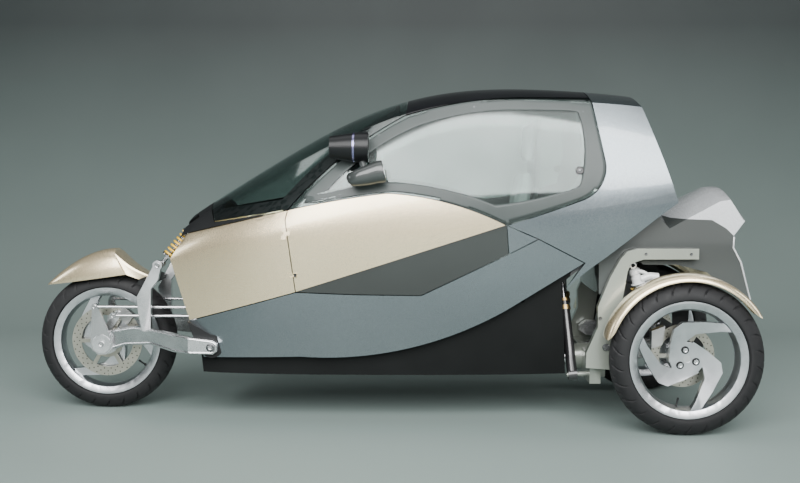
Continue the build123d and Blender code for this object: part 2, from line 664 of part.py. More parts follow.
# Upright engine and wheel carrier at the rear: two bent side frames with cross beams and the lean bearing
frame_edges = side_polygon([
    (-1256, 718), (-1013, 718), (-972, 706), (-946, 677), (-906, 603), (-858, 484), (-860, 404), (-815, 298),
    (-814, 237), (-920, 229), (-938, 400), (-955, 512), (-974, 626), (-987, 658), (-1037, 675), (-1256, 676)])
side_frame = side_prism(frame_edges, 262, 300)
arm_pivot = (-893, 321)
side_frame = side_frame - across(arm_pivot[0], arm_pivot[1], 240, 320, 12)
rear_frame = side_frame + other_side(side_frame)
rear_frame = rear_frame + slab(-900, -835, -262, 262, 237, 275)
cross_beam = slab(-1075, -1045, -262, 262, 676, 712)
rear_frame = rear_frame + cross_beam
for y in (rack_y, -rack_y):
    rear_frame = rear_frame - bar((-1260, y, rack_z), (-1256 + rack_depth, y, rack_z), rack_radius)
bearing = bar(lean_place(67, 0, 0), lean_place(225, 0, 0), bearing_radius)
gusset = slab(-935, -835, -45, 45, 150, 262) + slab(-880, -835, -262, 262, 165, 240)
rear_frame = rear_frame + bearing + gusset
rear_frame = rear_frame - bar(lean_place(0, 0, 0), lean_place(260, 0, 0), shaft_radius + run_gap)
for y in (pin_y, -pin_y):
    rear_frame = rear_frame + bar(lean_place(8, y, pin_radial), lean_place(97, y, pin_radial), pin_radius)
save("rear_frame", rear_frame)

# Trailing arms with stub axles
pivot_corners = [(0, -32), (31, -13), (31, 9), (0, 32)]
axle_corners = [(84, 45), (0, 30), (-28, 12), (-28, -12), (0, -30), (84, -38)]
trail = side_prism(side_polygon(
    [(arm_pivot[0] + forward, arm_pivot[1] + up) for forward, up in pivot_corners]
    + [(rear_axle_x + forward, rear_z + up) for forward, up in axle_corners]), 205, 245)
trail = trail + across(arm_pivot[0], arm_pivot[1], 245, 262, 24)
trail = trail + across(arm_pivot[0], arm_pivot[1], 262, 306, 12)
trail = trail + across(rear_axle_x, rear_z, 245, 430, 15) + across(rear_axle_x, rear_z, 245, 306, 26)
trail = trail + side_prism(
    about(rear_spring_foot[0], rear_spring_foot[2], [(14, -22), (-14, -22), (-20, 16), (20, 16)]), 205, 212)
trail = trail + across(rear_spring_foot[0], rear_spring_foot[2], 205, 240, eye_radius)
save("trailing_arms", both_sides(trail))

# Power unit
engine = slab(-1120, -940, -150, 150, 250, 430) + slab(-1100, -985, -120, 120, 430, 560)
engine = engine + across(rear_axle_x, rear_z, -150, 150, 70)
engine = engine + slab(rear_axle_x - 31, -1120, -150, 150, 250, 380)
engine = engine + slab(-1060, -1000, -60, 60, 560, 640)
engine = engine + slab(-940, -900, -200, 200, 245, 275)
engine = engine - bar(lean_place(0, 0, 0), lean_place(260, 0, 0), 70)
save("engine_block", engine)

# Tail: its top is turned about the leaning axis, so that the cabin can swing over it
tail_turn = lean_turned([
    (-860, 0), (-860, 545), (-950, 597), (-1050, 654), (-1100, 640), (-1142, 592), (-1343, 676), (-1384, 678),
    (-1436, 600), (-1500, 560), (-1500, 0)])
tail_side = side_prism(side_polygon([
    (-862, 530), (-862, 960), (-1460, 960), (-1449, 830), (-1402, 765), (-1400, 718), (-1431, 660),
    (-1473, 508),
    (-1440, 500), (-1300, 620), (-1184, 650), (-1045, 650), (-1000, 700), (-970, 700), (-900, 530),
]), -255, 255)
tail_body = tail_turn & tail_side
hood_cut = side_prism(side_polygon([
    (-1090, 860), (-1165, 836), (-1316, 831), (-1374, 797), (-1404, 768), (-1480, 760), (-1500, 1000),
    (-1090, 1000)]), -300, 300)
tail_hood = tail_body & hood_cut
tail_body = tail_body - hood_cut
tail_body = tail_body - cross_beam
lamp_room = slab(-1500, -1392, 150, 235, 690, 740)
tail_lamp = lamp_room & tail_body
tail_body = tail_body - lamp_room - other_side(lamp_room)
save("tail_body", tail_body)
save("tail_hood", tail_hood)
save("tail_lamps", both_sides(tail_lamp))

# Rear mudguards
def arch(x, z, radius, from_angle, to_angle):
    """Return the three points of an arc in the side view. Angles are above the forward direction."""
    points = []
    for angle in (from_angle, (from_angle + to_angle) / 2, to_angle):
        turn = math.radians(angle)
        points.append((x + radius * math.cos(turn), z + radius * math.sin(turn)))
    return tuple(points)


fender_gap = 12
fender_wall = 15
fender_from = 14
fender_to = 149
fender_y = (rear_wheel_y - rear_tyre_width / 2 - 2, rear_wheel_y + rear_tyre_width / 2 - 2)
inner_arch = arch(rear_axle_x, rear_z, rear_tyre_radius + fender_gap, fender_from, fender_to)
outer_arch = arch(rear_axle_x, rear_z, rear_tyre_radius + fender_gap + fender_wall, fender_from, fender_to)
fender_edges = [outer_arch, (outer_arch[2], inner_arch[2]), flip(inner_arch), (inner_arch[0], outer_arch[0])]
rear_fender = side_prism(fender_edges, fender_y[0], fender_y[1])
stay_top = rear_tyre_radius + fender_gap + 6
fender_stay = side_prism(
    about(rear_axle_x, rear_z, [(-26, 0), (26, 0), (40, stay_top), (-40, stay_top)]), 306, 311)
fender_stay = fender_stay - across(rear_axle_x, rear_z, 300, 320, axle_radius + 1)
fender_stay = fender_stay + slab(
    rear_axle_x - 40, rear_axle_x + 40, 306, fender_y[0], rear_z + stay_top - 5, rear_z + stay_top)
save("rear_fenders", both_sides(rear_fender + fender_stay))

disc_face = rear_wheel_y - 63
rear_caliper = side_prism(
    about(rear_axle_x, rear_z, [(84, 45), (126, 30), (126, 100), (74, 120)]), disc_face - 21, disc_face + 21)
rear_caliper = rear_caliper - across(rear_axle_x, rear_z, disc_face - 7, disc_face + 7, 127)
rear_caliper = rear_caliper + slab(
    rear_axle_x + 99, rear_axle_x + 124, 245, disc_face - 21, rear_z + 18, rear_z + 40)
save("rear_calipers", both_sides(rear_caliper))

# Lean shaft, fixed to the cabin's rear wall, and the two hydraulic cylinders that hold the lean
shaft = bar(lean_place(0, 0, 0), lean_place(209, 0, 0), shaft_radius)
shaft = shaft + bar(lean_place(0, 0, 0), lean_place(14, 0, 0), bearing_radius)
for y in (head_y, -head_y):
    shaft = shaft + bar(lean_place(0, y, head_radial), lean_place(5, y, head_radial), 24)
save("lean_shaft", shaft)

barrel_length = 315
barrel_radius = 21
rod_length = 310
rod_radius = 11


def lean_cylinder(behind):
    """Return the barrel and the rod of a left-hand lean cylinder, this far behind the cabin's rear wall."""
    foot = Vector(*lean_place(behind, pin_y, pin_radial))
    head = Vector(*lean_place(behind, head_y, head_radial))
    stroke = (head - foot).normalized()
    way = Vector(*lean_back)
    top = foot + stroke * barrel_length
    barrel = bar(foot, top, barrel_radius) + bar(foot - way * 18, foot + way * 18, barrel_radius + 3)
    barrel = barrel - bar(foot - way * 30, foot + way * 30, pin_radius + run_gap)
    barrel = barrel - bar(foot + stroke * 26, top + stroke * 5, rod_radius + run_gap)
    rod = bar(head - stroke * rod_length, head, rod_radius)
    rod = rod + bar(head - way * 8, head + way * 8, rod_radius * 2)
    return barrel, rod


for side, turn in (("left", lambda shape: shape), ("right", other_side)):
    barrel, rod = lean_cylinder(cylinder_behind[side])
    save(f"lean_barrel_{side}", turn(barrel))
    save(f"lean_rod_{side}", turn(rod))

# Inside: two seats one behind the other, the dashboard and the steering wheel
driver_base = side_prism(
    side_polygon([(-30, 300), (-40, 395), (-470, 370), (-470, 209), (-100, 209)]), -190, 190)
driver_back = side_prism(side_polygon([
    (-470, 330), (-420, 400), (-470, 660), (-545, 960), (-577, 1245), (-640, 1232), (-632, 960), (-560, 560),
    (-520, 330)]), -170, 170)
save("driver_seat", driver_base + driver_back)
passenger_base = side_prism(side_polygon([(-690, 745), (-690, 815), (-925, 895), (-925, 790)]), -170, 170)
passenger_back = side_prism(side_polygon([(-925, 820), (-1026, 1150), (-966, 1160), (-870, 860)]), -165, 165)
passenger = (passenger_base + passenger_back) - rear_floor_band - rear_void
save("passenger_seat", passenger)

dash_face = side_prism(side_polygon([
    (560, 780), (430, 850), (360, 820), (350, 700), (420, 640), (640, 640), (690, 705)]), -600, 600)
dashboard = dash_face & body_form(frame_depth)
wheel_centre = Vector(270, 0, 788)
column_way = Vector(-128, 0, 58).normalized()
column = bar(wheel_centre - column_way * 165, wheel_centre - column_way * 15.3, 20)
column = column + bar(wheel_centre - column_way * 16, wheel_centre + column_way * 8, 8)
save("dashboard", dashboard + column)
wheel_axis = Plane(origin=wheel_centre, z_dir=column_way)
hand_wheel = wheel_axis * Torus(165, 13)
hand_wheel = hand_wheel + wheel_axis * Cylinder(32, 30)
for angle in (0, 120, 240):
    hand_wheel = hand_wheel + wheel_axis * Rot(0, 0, angle) * Pos(92, 0, 0) * Box(150, 22, 8)
hand_wheel = hand_wheel - bar(wheel_centre - column_way * 20, wheel_centre + column_way * 8.3, 8 + run_gap)
save("steering_wheel", hand_wheel)
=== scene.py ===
import json
import math

import bmesh
import bpy
from mathutils import Matrix, Vector
from mathutils.bvhtree import BVHTree


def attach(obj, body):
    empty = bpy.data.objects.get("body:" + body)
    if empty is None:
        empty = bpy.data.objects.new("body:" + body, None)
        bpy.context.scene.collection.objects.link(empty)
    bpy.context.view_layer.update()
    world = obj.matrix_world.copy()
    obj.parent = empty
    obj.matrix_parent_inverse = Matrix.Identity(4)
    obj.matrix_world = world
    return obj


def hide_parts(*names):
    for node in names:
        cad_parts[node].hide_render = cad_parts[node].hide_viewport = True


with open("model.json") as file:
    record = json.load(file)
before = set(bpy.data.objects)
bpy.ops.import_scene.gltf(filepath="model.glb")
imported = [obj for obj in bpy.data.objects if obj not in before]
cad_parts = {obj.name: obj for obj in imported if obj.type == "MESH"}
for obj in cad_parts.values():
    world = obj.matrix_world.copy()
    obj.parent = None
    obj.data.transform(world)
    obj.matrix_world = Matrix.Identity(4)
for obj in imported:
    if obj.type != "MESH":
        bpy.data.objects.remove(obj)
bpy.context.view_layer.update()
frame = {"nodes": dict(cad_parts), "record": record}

nodes = frame["nodes"]
collection = bpy.context.scene.collection

# Camera, as far off and as high as the photographer stood
cameraPlace = {
    "place": (-0.1416, 4.6, 1.0704),
    "down": 0.0759,
    "turn": 0.0175,
    "roll": 0.0023,
    "lens": 48.63,
    "sensor": 36,
    "farthest": 60,
}


def makeCamera(values):
    data = bpy.data.cameras.new("camera")
    data.lens = values["lens"]
    data.sensor_width = values["sensor"]
    data.clip_end = values["farthest"]
    camera = bpy.data.objects.new("camera", data)
    collection.objects.link(camera)
    ahead = Vector((
        math.sin(values["turn"]) * math.cos(values["down"]),
        -math.cos(values["turn"]) * math.cos(values["down"]),
        -math.sin(values["down"]),
    ))
    camera.location = values["place"]
    roll = Matrix.Rotation(values["roll"], 3, "Z").to_quaternion()
    camera.rotation_euler = (ahead.to_track_quat("-Z", "Y") @ roll).to_euler()
    bpy.context.scene.camera = camera


makeCamera(cameraPlace)
print("camera set")


# Shader maths: a value wraps one output socket, and an expression on values adds the Math nodes
class Value:
    def __init__(self, finish, socket):
        self.finish = finish
        self.socket = socket

    def maths(self, operation, *inputs):
        return self.finish.node("Math", {"operation": operation}, dict(enumerate(inputs)))

    def __add__(self, other):
        return self.maths("ADD", self, other)

    def __mul__(self, other):
        return self.maths("MULTIPLY", self, other)

    def __pow__(self, other):
        return self.maths("POWER", self, other)

    def waves(self):
        return self.maths("SINE", self)


# A finish is one material round one main shader
class Finish:
    def __init__(self, name):
        self.material = bpy.data.materials.new(name)
        self.material.use_nodes = True
        self.tree = self.material.node_tree
        self.tree.nodes.clear()
        self.shader = self.tree.nodes.new("ShaderNodeBsdfPrincipled")
        self.output = self.tree.nodes.new("ShaderNodeOutputMaterial")
        self.tree.links.new(self.shader.outputs[0], self.output.inputs[0])

    def plug(self, socket, value):
        if isinstance(value, Value):
            self.tree.links.new(value.socket, socket)
        else:
            socket.default_value = value

    def node(self, kind, settings, inputs, output=0):
        made = self.tree.nodes.new("ShaderNode" + kind)
        for key, value in settings.items():
            setattr(made, key, value)
        for key, value in inputs.items():
            self.plug(made.inputs[key], value)
        return Value(self, made.outputs[output])

    def place(self, centre=(0, 0, 0)):
        here = self.node("TexCoord", {}, {}, "Object")
        return self.node("VectorMath", {"operation": "SUBTRACT"}, {0: here, 1: centre})

    def axes(self, place):
        made = self.tree.nodes.new("ShaderNodeSeparateXYZ")
        self.plug(made.inputs[0], place)
        return [Value(self, socket) for socket in made.outputs]

    def around(self, place):  # the distance from the Y axis through this place
        x, y, z = self.axes(place)
        return (x * x + z * z) ** 0.5

    def noise(self, place, scale, detail=3):
        inputs = {"Vector": place, "Scale": scale, "Detail": detail, "Roughness": 0.55}
        return self.node("TexNoise", {}, inputs, "Fac")

    def cells(self, place, scale, output="Distance"):
        return self.node("TexVoronoi", {}, {"Vector": place, "Scale": scale}, output)

    def grade(self, value, low, high, outLow, outHigh):
        return self.node("MapRange", {}, {0: value, 1: low, 2: high, 3: outLow, 4: outHigh})

    def blend(self, factor, low, high):
        return self.node("Mix", {"data_type": "RGBA"}, {0: factor, 6: (*low, 1), 7: (*high, 1)}, 2)

    def bump(self, height, distance, strength):
        return self.node("Bump", {}, {"Height": height, "Distance": distance, "Strength": strength})

    def set(self, **values):
        for name, value in values.items():
            if isinstance(value, tuple) and len(value) == 3:
                value = (*value, 1)
            self.plug(self.shader.inputs[name.replace("_", " ")], value)


# Paints: a clear coat over fine flakes, with a soft drift in tone and a faint orange peel
paints = {
    "beige": {"low": (0.84, 0.7, 0.455), "high": (0.93, 0.79, 0.525), "metal": 0.8, "rough": 0.27},
    "silverBlue": {"low": (0.165, 0.196, 0.212), "high": (0.215, 0.25, 0.268), "metal": 0.92, "rough": 0.26},
    "graphite": {"low": (0.012, 0.0155, 0.014), "high": (0.022, 0.027, 0.025), "metal": 0.3, "rough": 0.46},
    "tailGrey": {"low": (0.04, 0.046, 0.044), "high": (0.058, 0.065, 0.061), "metal": 0.35, "rough": 0.5},
    "moduleGrey": {"low": (0.25, 0.275, 0.235), "high": (0.32, 0.345, 0.3), "metal": 0.4, "rough": 0.36},
    # litSilverBlue is the silver-blue paint made near white: painted light, for the tail hood's lit faces
    "litSilverBlue": {"low": (0.74, 0.77, 0.79), "high": (0.84, 0.86, 0.88), "metal": 0.6, "rough": 0.28},
    "springYellow": {"low": (0.62, 0.36, 0.01), "high": (0.83, 0.53, 0.03), "metal": 0.0, "rough": 0.34},
    "blackEnamel": {"low": (0.01, 0.01, 0.011), "high": (0.018, 0.018, 0.019), "metal": 0.0, "rough": 0.33},
    "whiteEnamel": {"low": (0.66, 0.67, 0.66), "high": (0.8, 0.81, 0.8), "metal": 0.0, "rough": 0.3},
    "podGrey": {"low": (0.024, 0.029, 0.028), "high": (0.042, 0.049, 0.047), "metal": 0.3, "rough": 0.5},
}
paintGrain = {"drift": 2.3, "flakes": 1400, "peel": 260, "peelDeep": 0.00004, "peelStrength": 0.35}


def makePaint(name, values):
    finish = Finish(name)
    here = finish.place()
    drift = finish.noise(here, paintGrain["drift"], 2)
    sparkle = finish.axes(finish.cells(here, paintGrain["flakes"], "Color"))[0]
    tone = finish.grade(drift * 0.75 + sparkle * 0.25, 0.25, 0.75, 0, 1)
    peel = finish.noise(here, paintGrain["peel"], 1)
    finish.set(Base_Color=finish.blend(tone, values["low"], values["high"]))
    finish.set(Metallic=values["metal"], Coat_Weight=1.0, Coat_Roughness=0.05, Coat_IOR=1.5)
    finish.set(Roughness=finish.grade(sparkle, 0, 1, values["rough"] - 0.05, values["rough"] + 0.09))
    finish.set(Normal=finish.bump(peel, paintGrain["peelDeep"], paintGrain["peelStrength"]))
    return finish.material


# Metals: tone and gloss wander a little, and fine lines or casting grain stand in the bump
metals = {
    "satinAlloy": {"low": (0.6, 0.61, 0.62), "high": (0.8, 0.81, 0.82),
                   "rough": 0.27, "grain": 900, "deep": 0.00003},
    "wheelSilver": {"low": (0.52, 0.54, 0.56), "high": (0.68, 0.7, 0.72),
                    "rough": 0.3, "grain": 1200, "deep": 0.00002},
    "brightSteel": {"low": (0.5, 0.5, 0.51), "high": (0.66, 0.66, 0.67),
                    "rough": 0.2, "grain": 1500, "deep": 0.00001},
    "castGrey": {"low": (0.3, 0.305, 0.3), "high": (0.46, 0.465, 0.45),
                 "rough": 0.38, "grain": 700, "deep": 0.00005},
    "goldAlloy": {"low": (0.48, 0.33, 0.13), "high": (0.66, 0.47, 0.21),
                  "rough": 0.36, "grain": 700, "deep": 0.00005},
    "castMetal": {"low": (0.085, 0.088, 0.09), "high": (0.17, 0.175, 0.18),
                  "rough": 0.5, "grain": 420, "deep": 0.0002},
    "polished": {"low": (0.74, 0.75, 0.76), "high": (0.88, 0.89, 0.9),
                 "rough": 0.18, "grain": 900, "deep": 0.00001},
    "darkSteel": {"low": (0.1, 0.105, 0.11), "high": (0.19, 0.195, 0.2),
                  "rough": 0.34, "grain": 900, "deep": 0.00003},
    "violetMetal": {"low": (0.2, 0.19, 0.42), "high": (0.42, 0.4, 0.66),
                    "rough": 0.22, "grain": 700, "deep": 0.00002},
    "chrome": {"low": (0.8, 0.8, 0.81), "high": (0.86, 0.86, 0.87),
               "rough": 0.06, "grain": 500, "deep": 0.000004},
}
metalGrain = {"cloud": 9, "strength": 0.6}


def makeMetal(name, values):
    finish = Finish(name)
    here = finish.place()
    cloud = finish.noise(here, metalGrain["cloud"], 4)
    grain = finish.noise(here, values["grain"], 2)
    wear = finish.grade(cloud * 0.5 + grain * 0.5, 0.3, 0.7, values["rough"] - 0.06, values["rough"] + 0.08)
    finish.set(Base_Color=finish.blend(finish.grade(cloud, 0.3, 0.7, 0, 1), values["low"], values["high"]))
    finish.set(Metallic=1.0, Roughness=wear)
    finish.set(Normal=finish.bump(grain, values["deep"], metalGrain["strength"]))
    return finish.material


# Brake discs: rings left by the lathe, and a brown tint from heat
discMetal = {"low": (0.36, 0.35, 0.3), "high": (0.5, 0.49, 0.42), "cloud": 22, "rings": 5200, "deep": 0.00003}


def makeDiscMetal(name, centre, values):
    finish = Finish(name)
    here = finish.place(centre)
    radius = finish.around(here)
    cloud = finish.noise(here, values["cloud"], 3)
    heat = finish.grade(radius, 0.06, 0.15, 0, 1) * 0.6 + cloud * 0.4
    finish.set(Base_Color=finish.blend(heat, values["low"], values["high"]))
    finish.set(Metallic=1.0, Roughness=finish.grade(cloud, 0.3, 0.7, 0.26, 0.4))
    finish.set(Normal=finish.bump((radius * values["rings"]).waves(), values["deep"], 0.5))
    return finish.material


# Tyre rubber: worn a little greyer on the tread, fine moulding lines round the side wall
rubber = {"low": (0.0085, 0.0088, 0.0095), "high": (0.03, 0.03, 0.031), "lines": 2600, "dust": 38, "grain": 600,
          "deep": 0.00012}


def makeRubber(name, centre, outer, values):
    finish = Finish(name)
    here = finish.place(centre)
    radius = finish.around(here)
    dust = finish.noise(here, values["dust"], 4)
    tread = finish.grade(radius, outer - 0.016, outer - 0.004, 0, 1)
    lines = (radius * values["lines"]).waves() * finish.grade(radius, outer - 0.05, outer - 0.03, 1, 0)
    finish.set(Base_Color=finish.blend(tread * 0.5 + dust * 0.5, values["low"], values["high"]))
    finish.set(Roughness=finish.grade(dust, 0.3, 0.7, 0.5, 0.7), Specular_IOR_Level=0.25)
    finish.set(Normal=finish.bump(lines * 0.4 + finish.noise(here, values["grain"], 2), values["deep"], 0.6))
    return finish.material


# Plastics: moulded grain; gloss is how much light the surface throws back
plastics = {
    "grainedBlack": {"low": (0.005, 0.0055, 0.006), "high": (0.012, 0.013, 0.0135), "rough": 0.46, "grain": 900,
                     "deep": 0.00009, "gloss": 0.28},
    "tubBlack": {"low": (0.004, 0.0045, 0.0045), "high": (0.009, 0.01, 0.01), "rough": 0.62, "grain": 900,
                 "deep": 0.00008, "gloss": 0.16},
    "podBlack": {"low": (0.004, 0.0045, 0.005), "high": (0.009, 0.01, 0.011), "rough": 0.3, "grain": 500,
                 "deep": 0.00004, "gloss": 0.3},
    "glossBlack": {"low": (0.004, 0.004, 0.005), "high": (0.01, 0.01, 0.012), "rough": 0.1, "grain": 90,
                   "deep": 0.00002, "gloss": 0.5},
    "frit": {"low": (0.045, 0.055, 0.053), "high": (0.075, 0.088, 0.085), "rough": 0.34, "grain": 600,
             "deep": 0.00002, "gloss": 0.3},
    "cabinGrey": {"low": (0.05, 0.052, 0.053), "high": (0.09, 0.092, 0.094), "rough": 0.58, "grain": 760,
                  "deep": 0.00018, "gloss": 0.5},
}


def makePlastic(name, values):
    finish = Finish(name)
    here = finish.place()
    cloud = finish.noise(here, 6, 3)
    grain = finish.cells(here, values["grain"])
    wear = finish.grade(cloud * 0.6 + grain * 0.4, 0.2, 0.8, values["rough"] - 0.05, values["rough"] + 0.1)
    finish.set(Base_Color=finish.blend(cloud, values["low"], values["high"]), Roughness=wear)
    finish.set(Normal=finish.bump(grain, values["deep"], 0.5), Specular_IOR_Level=values["gloss"])
    return finish.material


# Glass: mostly clear, it mirrors more at a glancing angle, with a faint film of dust
glasses = {
    "window": {"tint": (0.8, 0.86, 0.85), "mirror": 0.05, "spread": 0.2},
    "sideWindow": {"tint": (0.78, 0.85, 0.83), "mirror": 0.03, "spread": 0.13},
    "lampGlass": {"tint": (0.95, 0.97, 0.98), "mirror": 0.12, "spread": 0.28},
}


def makeGlass(name, values):
    finish = Finish(name)
    dust = finish.noise(finish.place(), 5, 4)
    finish.set(Base_Color=finish.blend(dust, (0.72, 0.8, 0.78), (0.86, 0.91, 0.9)), Metallic=1.0)
    finish.set(Roughness=finish.grade(dust, 0.3, 0.8, 0.05, 0.11))
    through = finish.tree.nodes.new("ShaderNodeBsdfTransparent")
    through.inputs[0].default_value = (*values["tint"], 1)
    mixer = finish.tree.nodes.new("ShaderNodeMixShader")
    facing = finish.node("LayerWeight", {}, {"Blend": values["spread"]}, "Facing")
    finish.plug(mixer.inputs[0], finish.grade(facing, 0, 1, values["mirror"], 0.92) + dust * 0.04)
    finish.tree.links.new(through.outputs[0], mixer.inputs[1])
    finish.tree.links.new(finish.shader.outputs[0], mixer.inputs[2])
    finish.tree.links.new(mixer.outputs[0], finish.output.inputs[0])
    return finish.material


# Seat cloth: plain woven threads in both directions, with painted highlight on the raised threads and painted shade
# between them
seatCloth = {"low": (0.22, 0.23, 0.23), "high": (0.42, 0.43, 0.425), "threads": 2400, "fuzz": 420, "deep": 0.0005}


def makeCloth(name, values):
    finish = Finish(name)
    here = finish.place()
    x, y, z = finish.axes(here)
    weaveReliefAndShade = (y * values["threads"]).waves() * ((x + z) * values["threads"]).waves() * 0.5 + 0.5
    fuzz = finish.noise(here, values["fuzz"], 3)
    # the threads' relief also sets the colour: painted highlight on the raised threads, painted shade in the hollows
    finish.set(Base_Color=finish.blend(weaveReliefAndShade * 0.6 + fuzz * 0.4, values["low"], values["high"]))
    finish.set(Roughness=finish.grade(fuzz, 0.3, 0.7, 0.82, 0.96), Sheen_Weight=0.25, Sheen_Roughness=0.5)
    finish.set(Normal=finish.bump(weaveReliefAndShade + fuzz * 0.4, values["deep"], 0.8))
    return finish.material


# Tail lamps: a coated red lens with fine upright ribs, glowing faintly
tailLens = {"colour": (0.5, 0.015, 0.012), "dim": 0.8, "glow": 0.15, "ribs": 900, "ribDeep": 0.0004}


def makeLens(name, values):
    finish = Finish(name)
    here = finish.place()
    ribs = (finish.axes(here)[1] * values["ribs"]).waves()
    shade = [part * values["dim"] for part in values["colour"]]
    finish.set(Base_Color=finish.blend(finish.noise(here, 40, 2), values["colour"], shade))
    finish.set(Roughness=0.12, Coat_Weight=1.0, Coat_Roughness=0.03, Emission_Strength=values["glow"])
    finish.set(Emission_Color=values["colour"], Normal=finish.bump(ribs, values["ribDeep"], 0.5))
    return finish.material


sides = {"left": 1, "right": -1}
frontHub = (1.191, 0, 0.293)
rearHubs = {side: (-1.184, 0.42 * sign, 0.3) for side, sign in sides.items()}
finishes = {}
for maker, recipes in ((makePaint, paints), (makeMetal, metals), (makePlastic, plastics)):
    finishes.update({name: maker(name, values) for name, values in recipes.items()})
finishes["frontDisc"] = makeDiscMetal("frontDisc", frontHub, discMetal)
finishes["rearDisc"] = makeDiscMetal("rearDisc", rearHubs["left"], discMetal)
finishes["frontRubber"] = makeRubber("frontRubber", frontHub, frontHub[2], rubber)
finishes["rearRubber"] = makeRubber("rearRubber", rearHubs["left"], rearHubs["left"][2], rubber)
finishes.update({name: makeGlass(name, values) for name, values in glasses.items()})
finishes["mirrorGlass"] = makeMetal("mirrorGlass", metals["chrome"])
finishes["seatCloth"] = makeCloth("seatCloth", seatCloth)
finishes["redLens"] = makeLens("redLens", tailLens)
print("finishes made:", len(finishes))

nodeFinish = {
    "beige": ["nose_panels", "front_fender", "rear_fenders", "door_skin_left", "door_skin_right"],
    "silverBlue": ["side_panels", "rear_shell"],
    "graphite": ["door_lower_left", "door_lower_right"],
    "tailGrey": ["tail_body"],
    "moduleGrey": ["rear_frame"],
    # the tail hood takes the near-white silver-blue, as painted light for its lit faces
    "litSilverBlue": ["tail_hood"],
    "springYellow": ["front_springs", "rear_springs"],
    "blackEnamel": ["roll_frame", "door_frame_left", "door_frame_right", "lean_barrel_left", "lean_barrel_right"],
    "satinAlloy": ["front_arms", "trailing_arms", "hub_carrier"],
    "wheelSilver": ["front_wheel", "rear_wheel_left", "rear_wheel_right"],
    "brightSteel": [
        "front_axle", "link_rods", "front_dampers", "rear_dampers", "lean_shaft", "lean_rod_left", "lean_rod_right"],
    "castGrey": ["front_caliper", "rear_calipers"],
    "castMetal": ["engine_block"],
    "grainedBlack": [
        "nose_cap", "screen_frame", "pivot_bosses", "steering_wheel", "door_pods_left", "door_pods_right"],
    "glossBlack": ["roof_panel"],
    "cabinGrey": ["dashboard", "rear_floor"],
    "tubBlack": ["floor_tub"],
    "frontDisc": ["front_disc"],
    "rearDisc": ["rear_disc_left", "rear_disc_right"],
    "frontRubber": ["front_tyre"],
    "rearRubber": ["rear_tyre_left", "rear_tyre_right"],
    "window": ["cabin_glass"],
    "sideWindow": ["door_glass_left", "door_glass_right"],
    "lampGlass": ["lamp_lens_left", "lamp_lens_right"],
    "seatCloth": ["driver_seat", "passenger_seat"],
    "redLens": ["tail_lamps"],
}
finishOf = {}
for finishName, nodeNames in nodeFinish.items():
    for nodeName in nodeNames:
        finishOf[nodeName] = finishName
        mesh = nodes[nodeName].data
        if not mesh.materials:
            mesh.materials.append(finishes[finishName])
        for index in range(len(mesh.materials)):
            mesh.materials[index] = finishes[finishName]
bodyOf = {node: body for body, names in frame["record"]["behaviour"]["bodies"].items() for node in names}
print("finishes laid on", len(finishOf), "of", len(nodes), "nodes")

# Floor and studio light; the backdrop is painted darker as it rises, as painted shade
floorShape = {"wide": 26, "near": 9.0, "wallAt": -4.5, "bend": 2.5, "bendSteps": 12, "top": 8.0, "shadeRise": 2.2,
              "floorTone": (0.2, 0.254, 0.238), "wallShadeTone": (0.011, 0.018, 0.018)}
lights = {
    "overhead": {"place": (-0.1, 0.2, 3.5), "aim": (-0.1, 0, 0), "size": (4.8, 1.5), "power": 36},
    "wall": {"place": (-0.3, 6.0, 4.1), "aim": (0, 0, 0.9), "size": (8.5, 4.4), "power": 1320},
    "shoulder": {"place": (-0.3, 4.4, 6.3), "aim": (-0.2, 0, 0.9), "size": (8.5, 2.2), "power": 190},
    "low": {"place": (-0.2, 7.2, 1.35), "aim": (-0.2, 0, 1.1), "size": (9.5, 2.3), "power": 62},
    "nose": {"place": (4.6, 0.8, 1.9), "aim": (0.8, 0, 0.6), "size": (1.2, 1.8), "power": 34,
             "tone": (0.95, 0.98, 1)},
    "tail": {"place": (-4.6, 0.4, 2.0), "aim": (-0.8, 0, 0.7), "size": (1.4, 2.2), "power": 40},
}
sky = {"tone": (0.62, 0.66, 0.67, 1), "power": 0.035}


def makeFloor(values):
    bm = bmesh.new()
    bend = values["bend"]
    foot = values["wallAt"] + bend
    steps = [(values["near"], 0.0), (foot, 0.0)]
    for step in range(1, values["bendSteps"] + 1):
        angle = math.pi / 2 * step / values["bendSteps"]
        steps.append((foot - bend * math.sin(angle), bend - bend * math.cos(angle)))
    steps.append((values["wallAt"], values["top"]))
    rows = [[bm.verts.new((x, y, z)) for x in (-values["wide"], values["wide"])] for y, z in steps]
    for low, high in zip(rows, rows[1:]):
        bm.faces.new((low[0], high[0], high[1], low[1]))
    bmesh.ops.recalc_face_normals(bm, faces=bm.faces)
    mesh = bpy.data.meshes.new("floor")
    bm.to_mesh(mesh)
    bm.free()
    for polygon in mesh.polygons:
        polygon.use_smooth = True
    finish = Finish("floorPaint")
    here = finish.place()
    # painted shade: the colour grades from the pale floor to a near-black wall, standing in for a backdrop lying out
    # of the light
    tone = finish.grade(finish.axes(here)[2], 0.0, values["shadeRise"], 0, 1) * 0.9 + finish.noise(here, 0.9, 3) * 0.1
    finish.set(Base_Color=finish.blend(tone, values["floorTone"], values["wallShadeTone"]), Roughness=0.62)
    mesh.materials.append(finish.material)
    floor = bpy.data.objects.new("floor", mesh)
    collection.objects.link(floor)


def makeLight(name, values):
    data = bpy.data.lights.new(name, "AREA")
    data.shape = "RECTANGLE"
    data.size, data.size_y = values["size"]
    data.energy = values["power"]
    data.color = values.get("tone", (1, 1, 1))
    light = bpy.data.objects.new(name, data)
    light.location = values["place"]
    ahead = Vector(values["aim"]) - Vector(values["place"])
    light.rotation_euler = ahead.to_track_quat("-Z", "Y").to_euler()
    collection.objects.link(light)


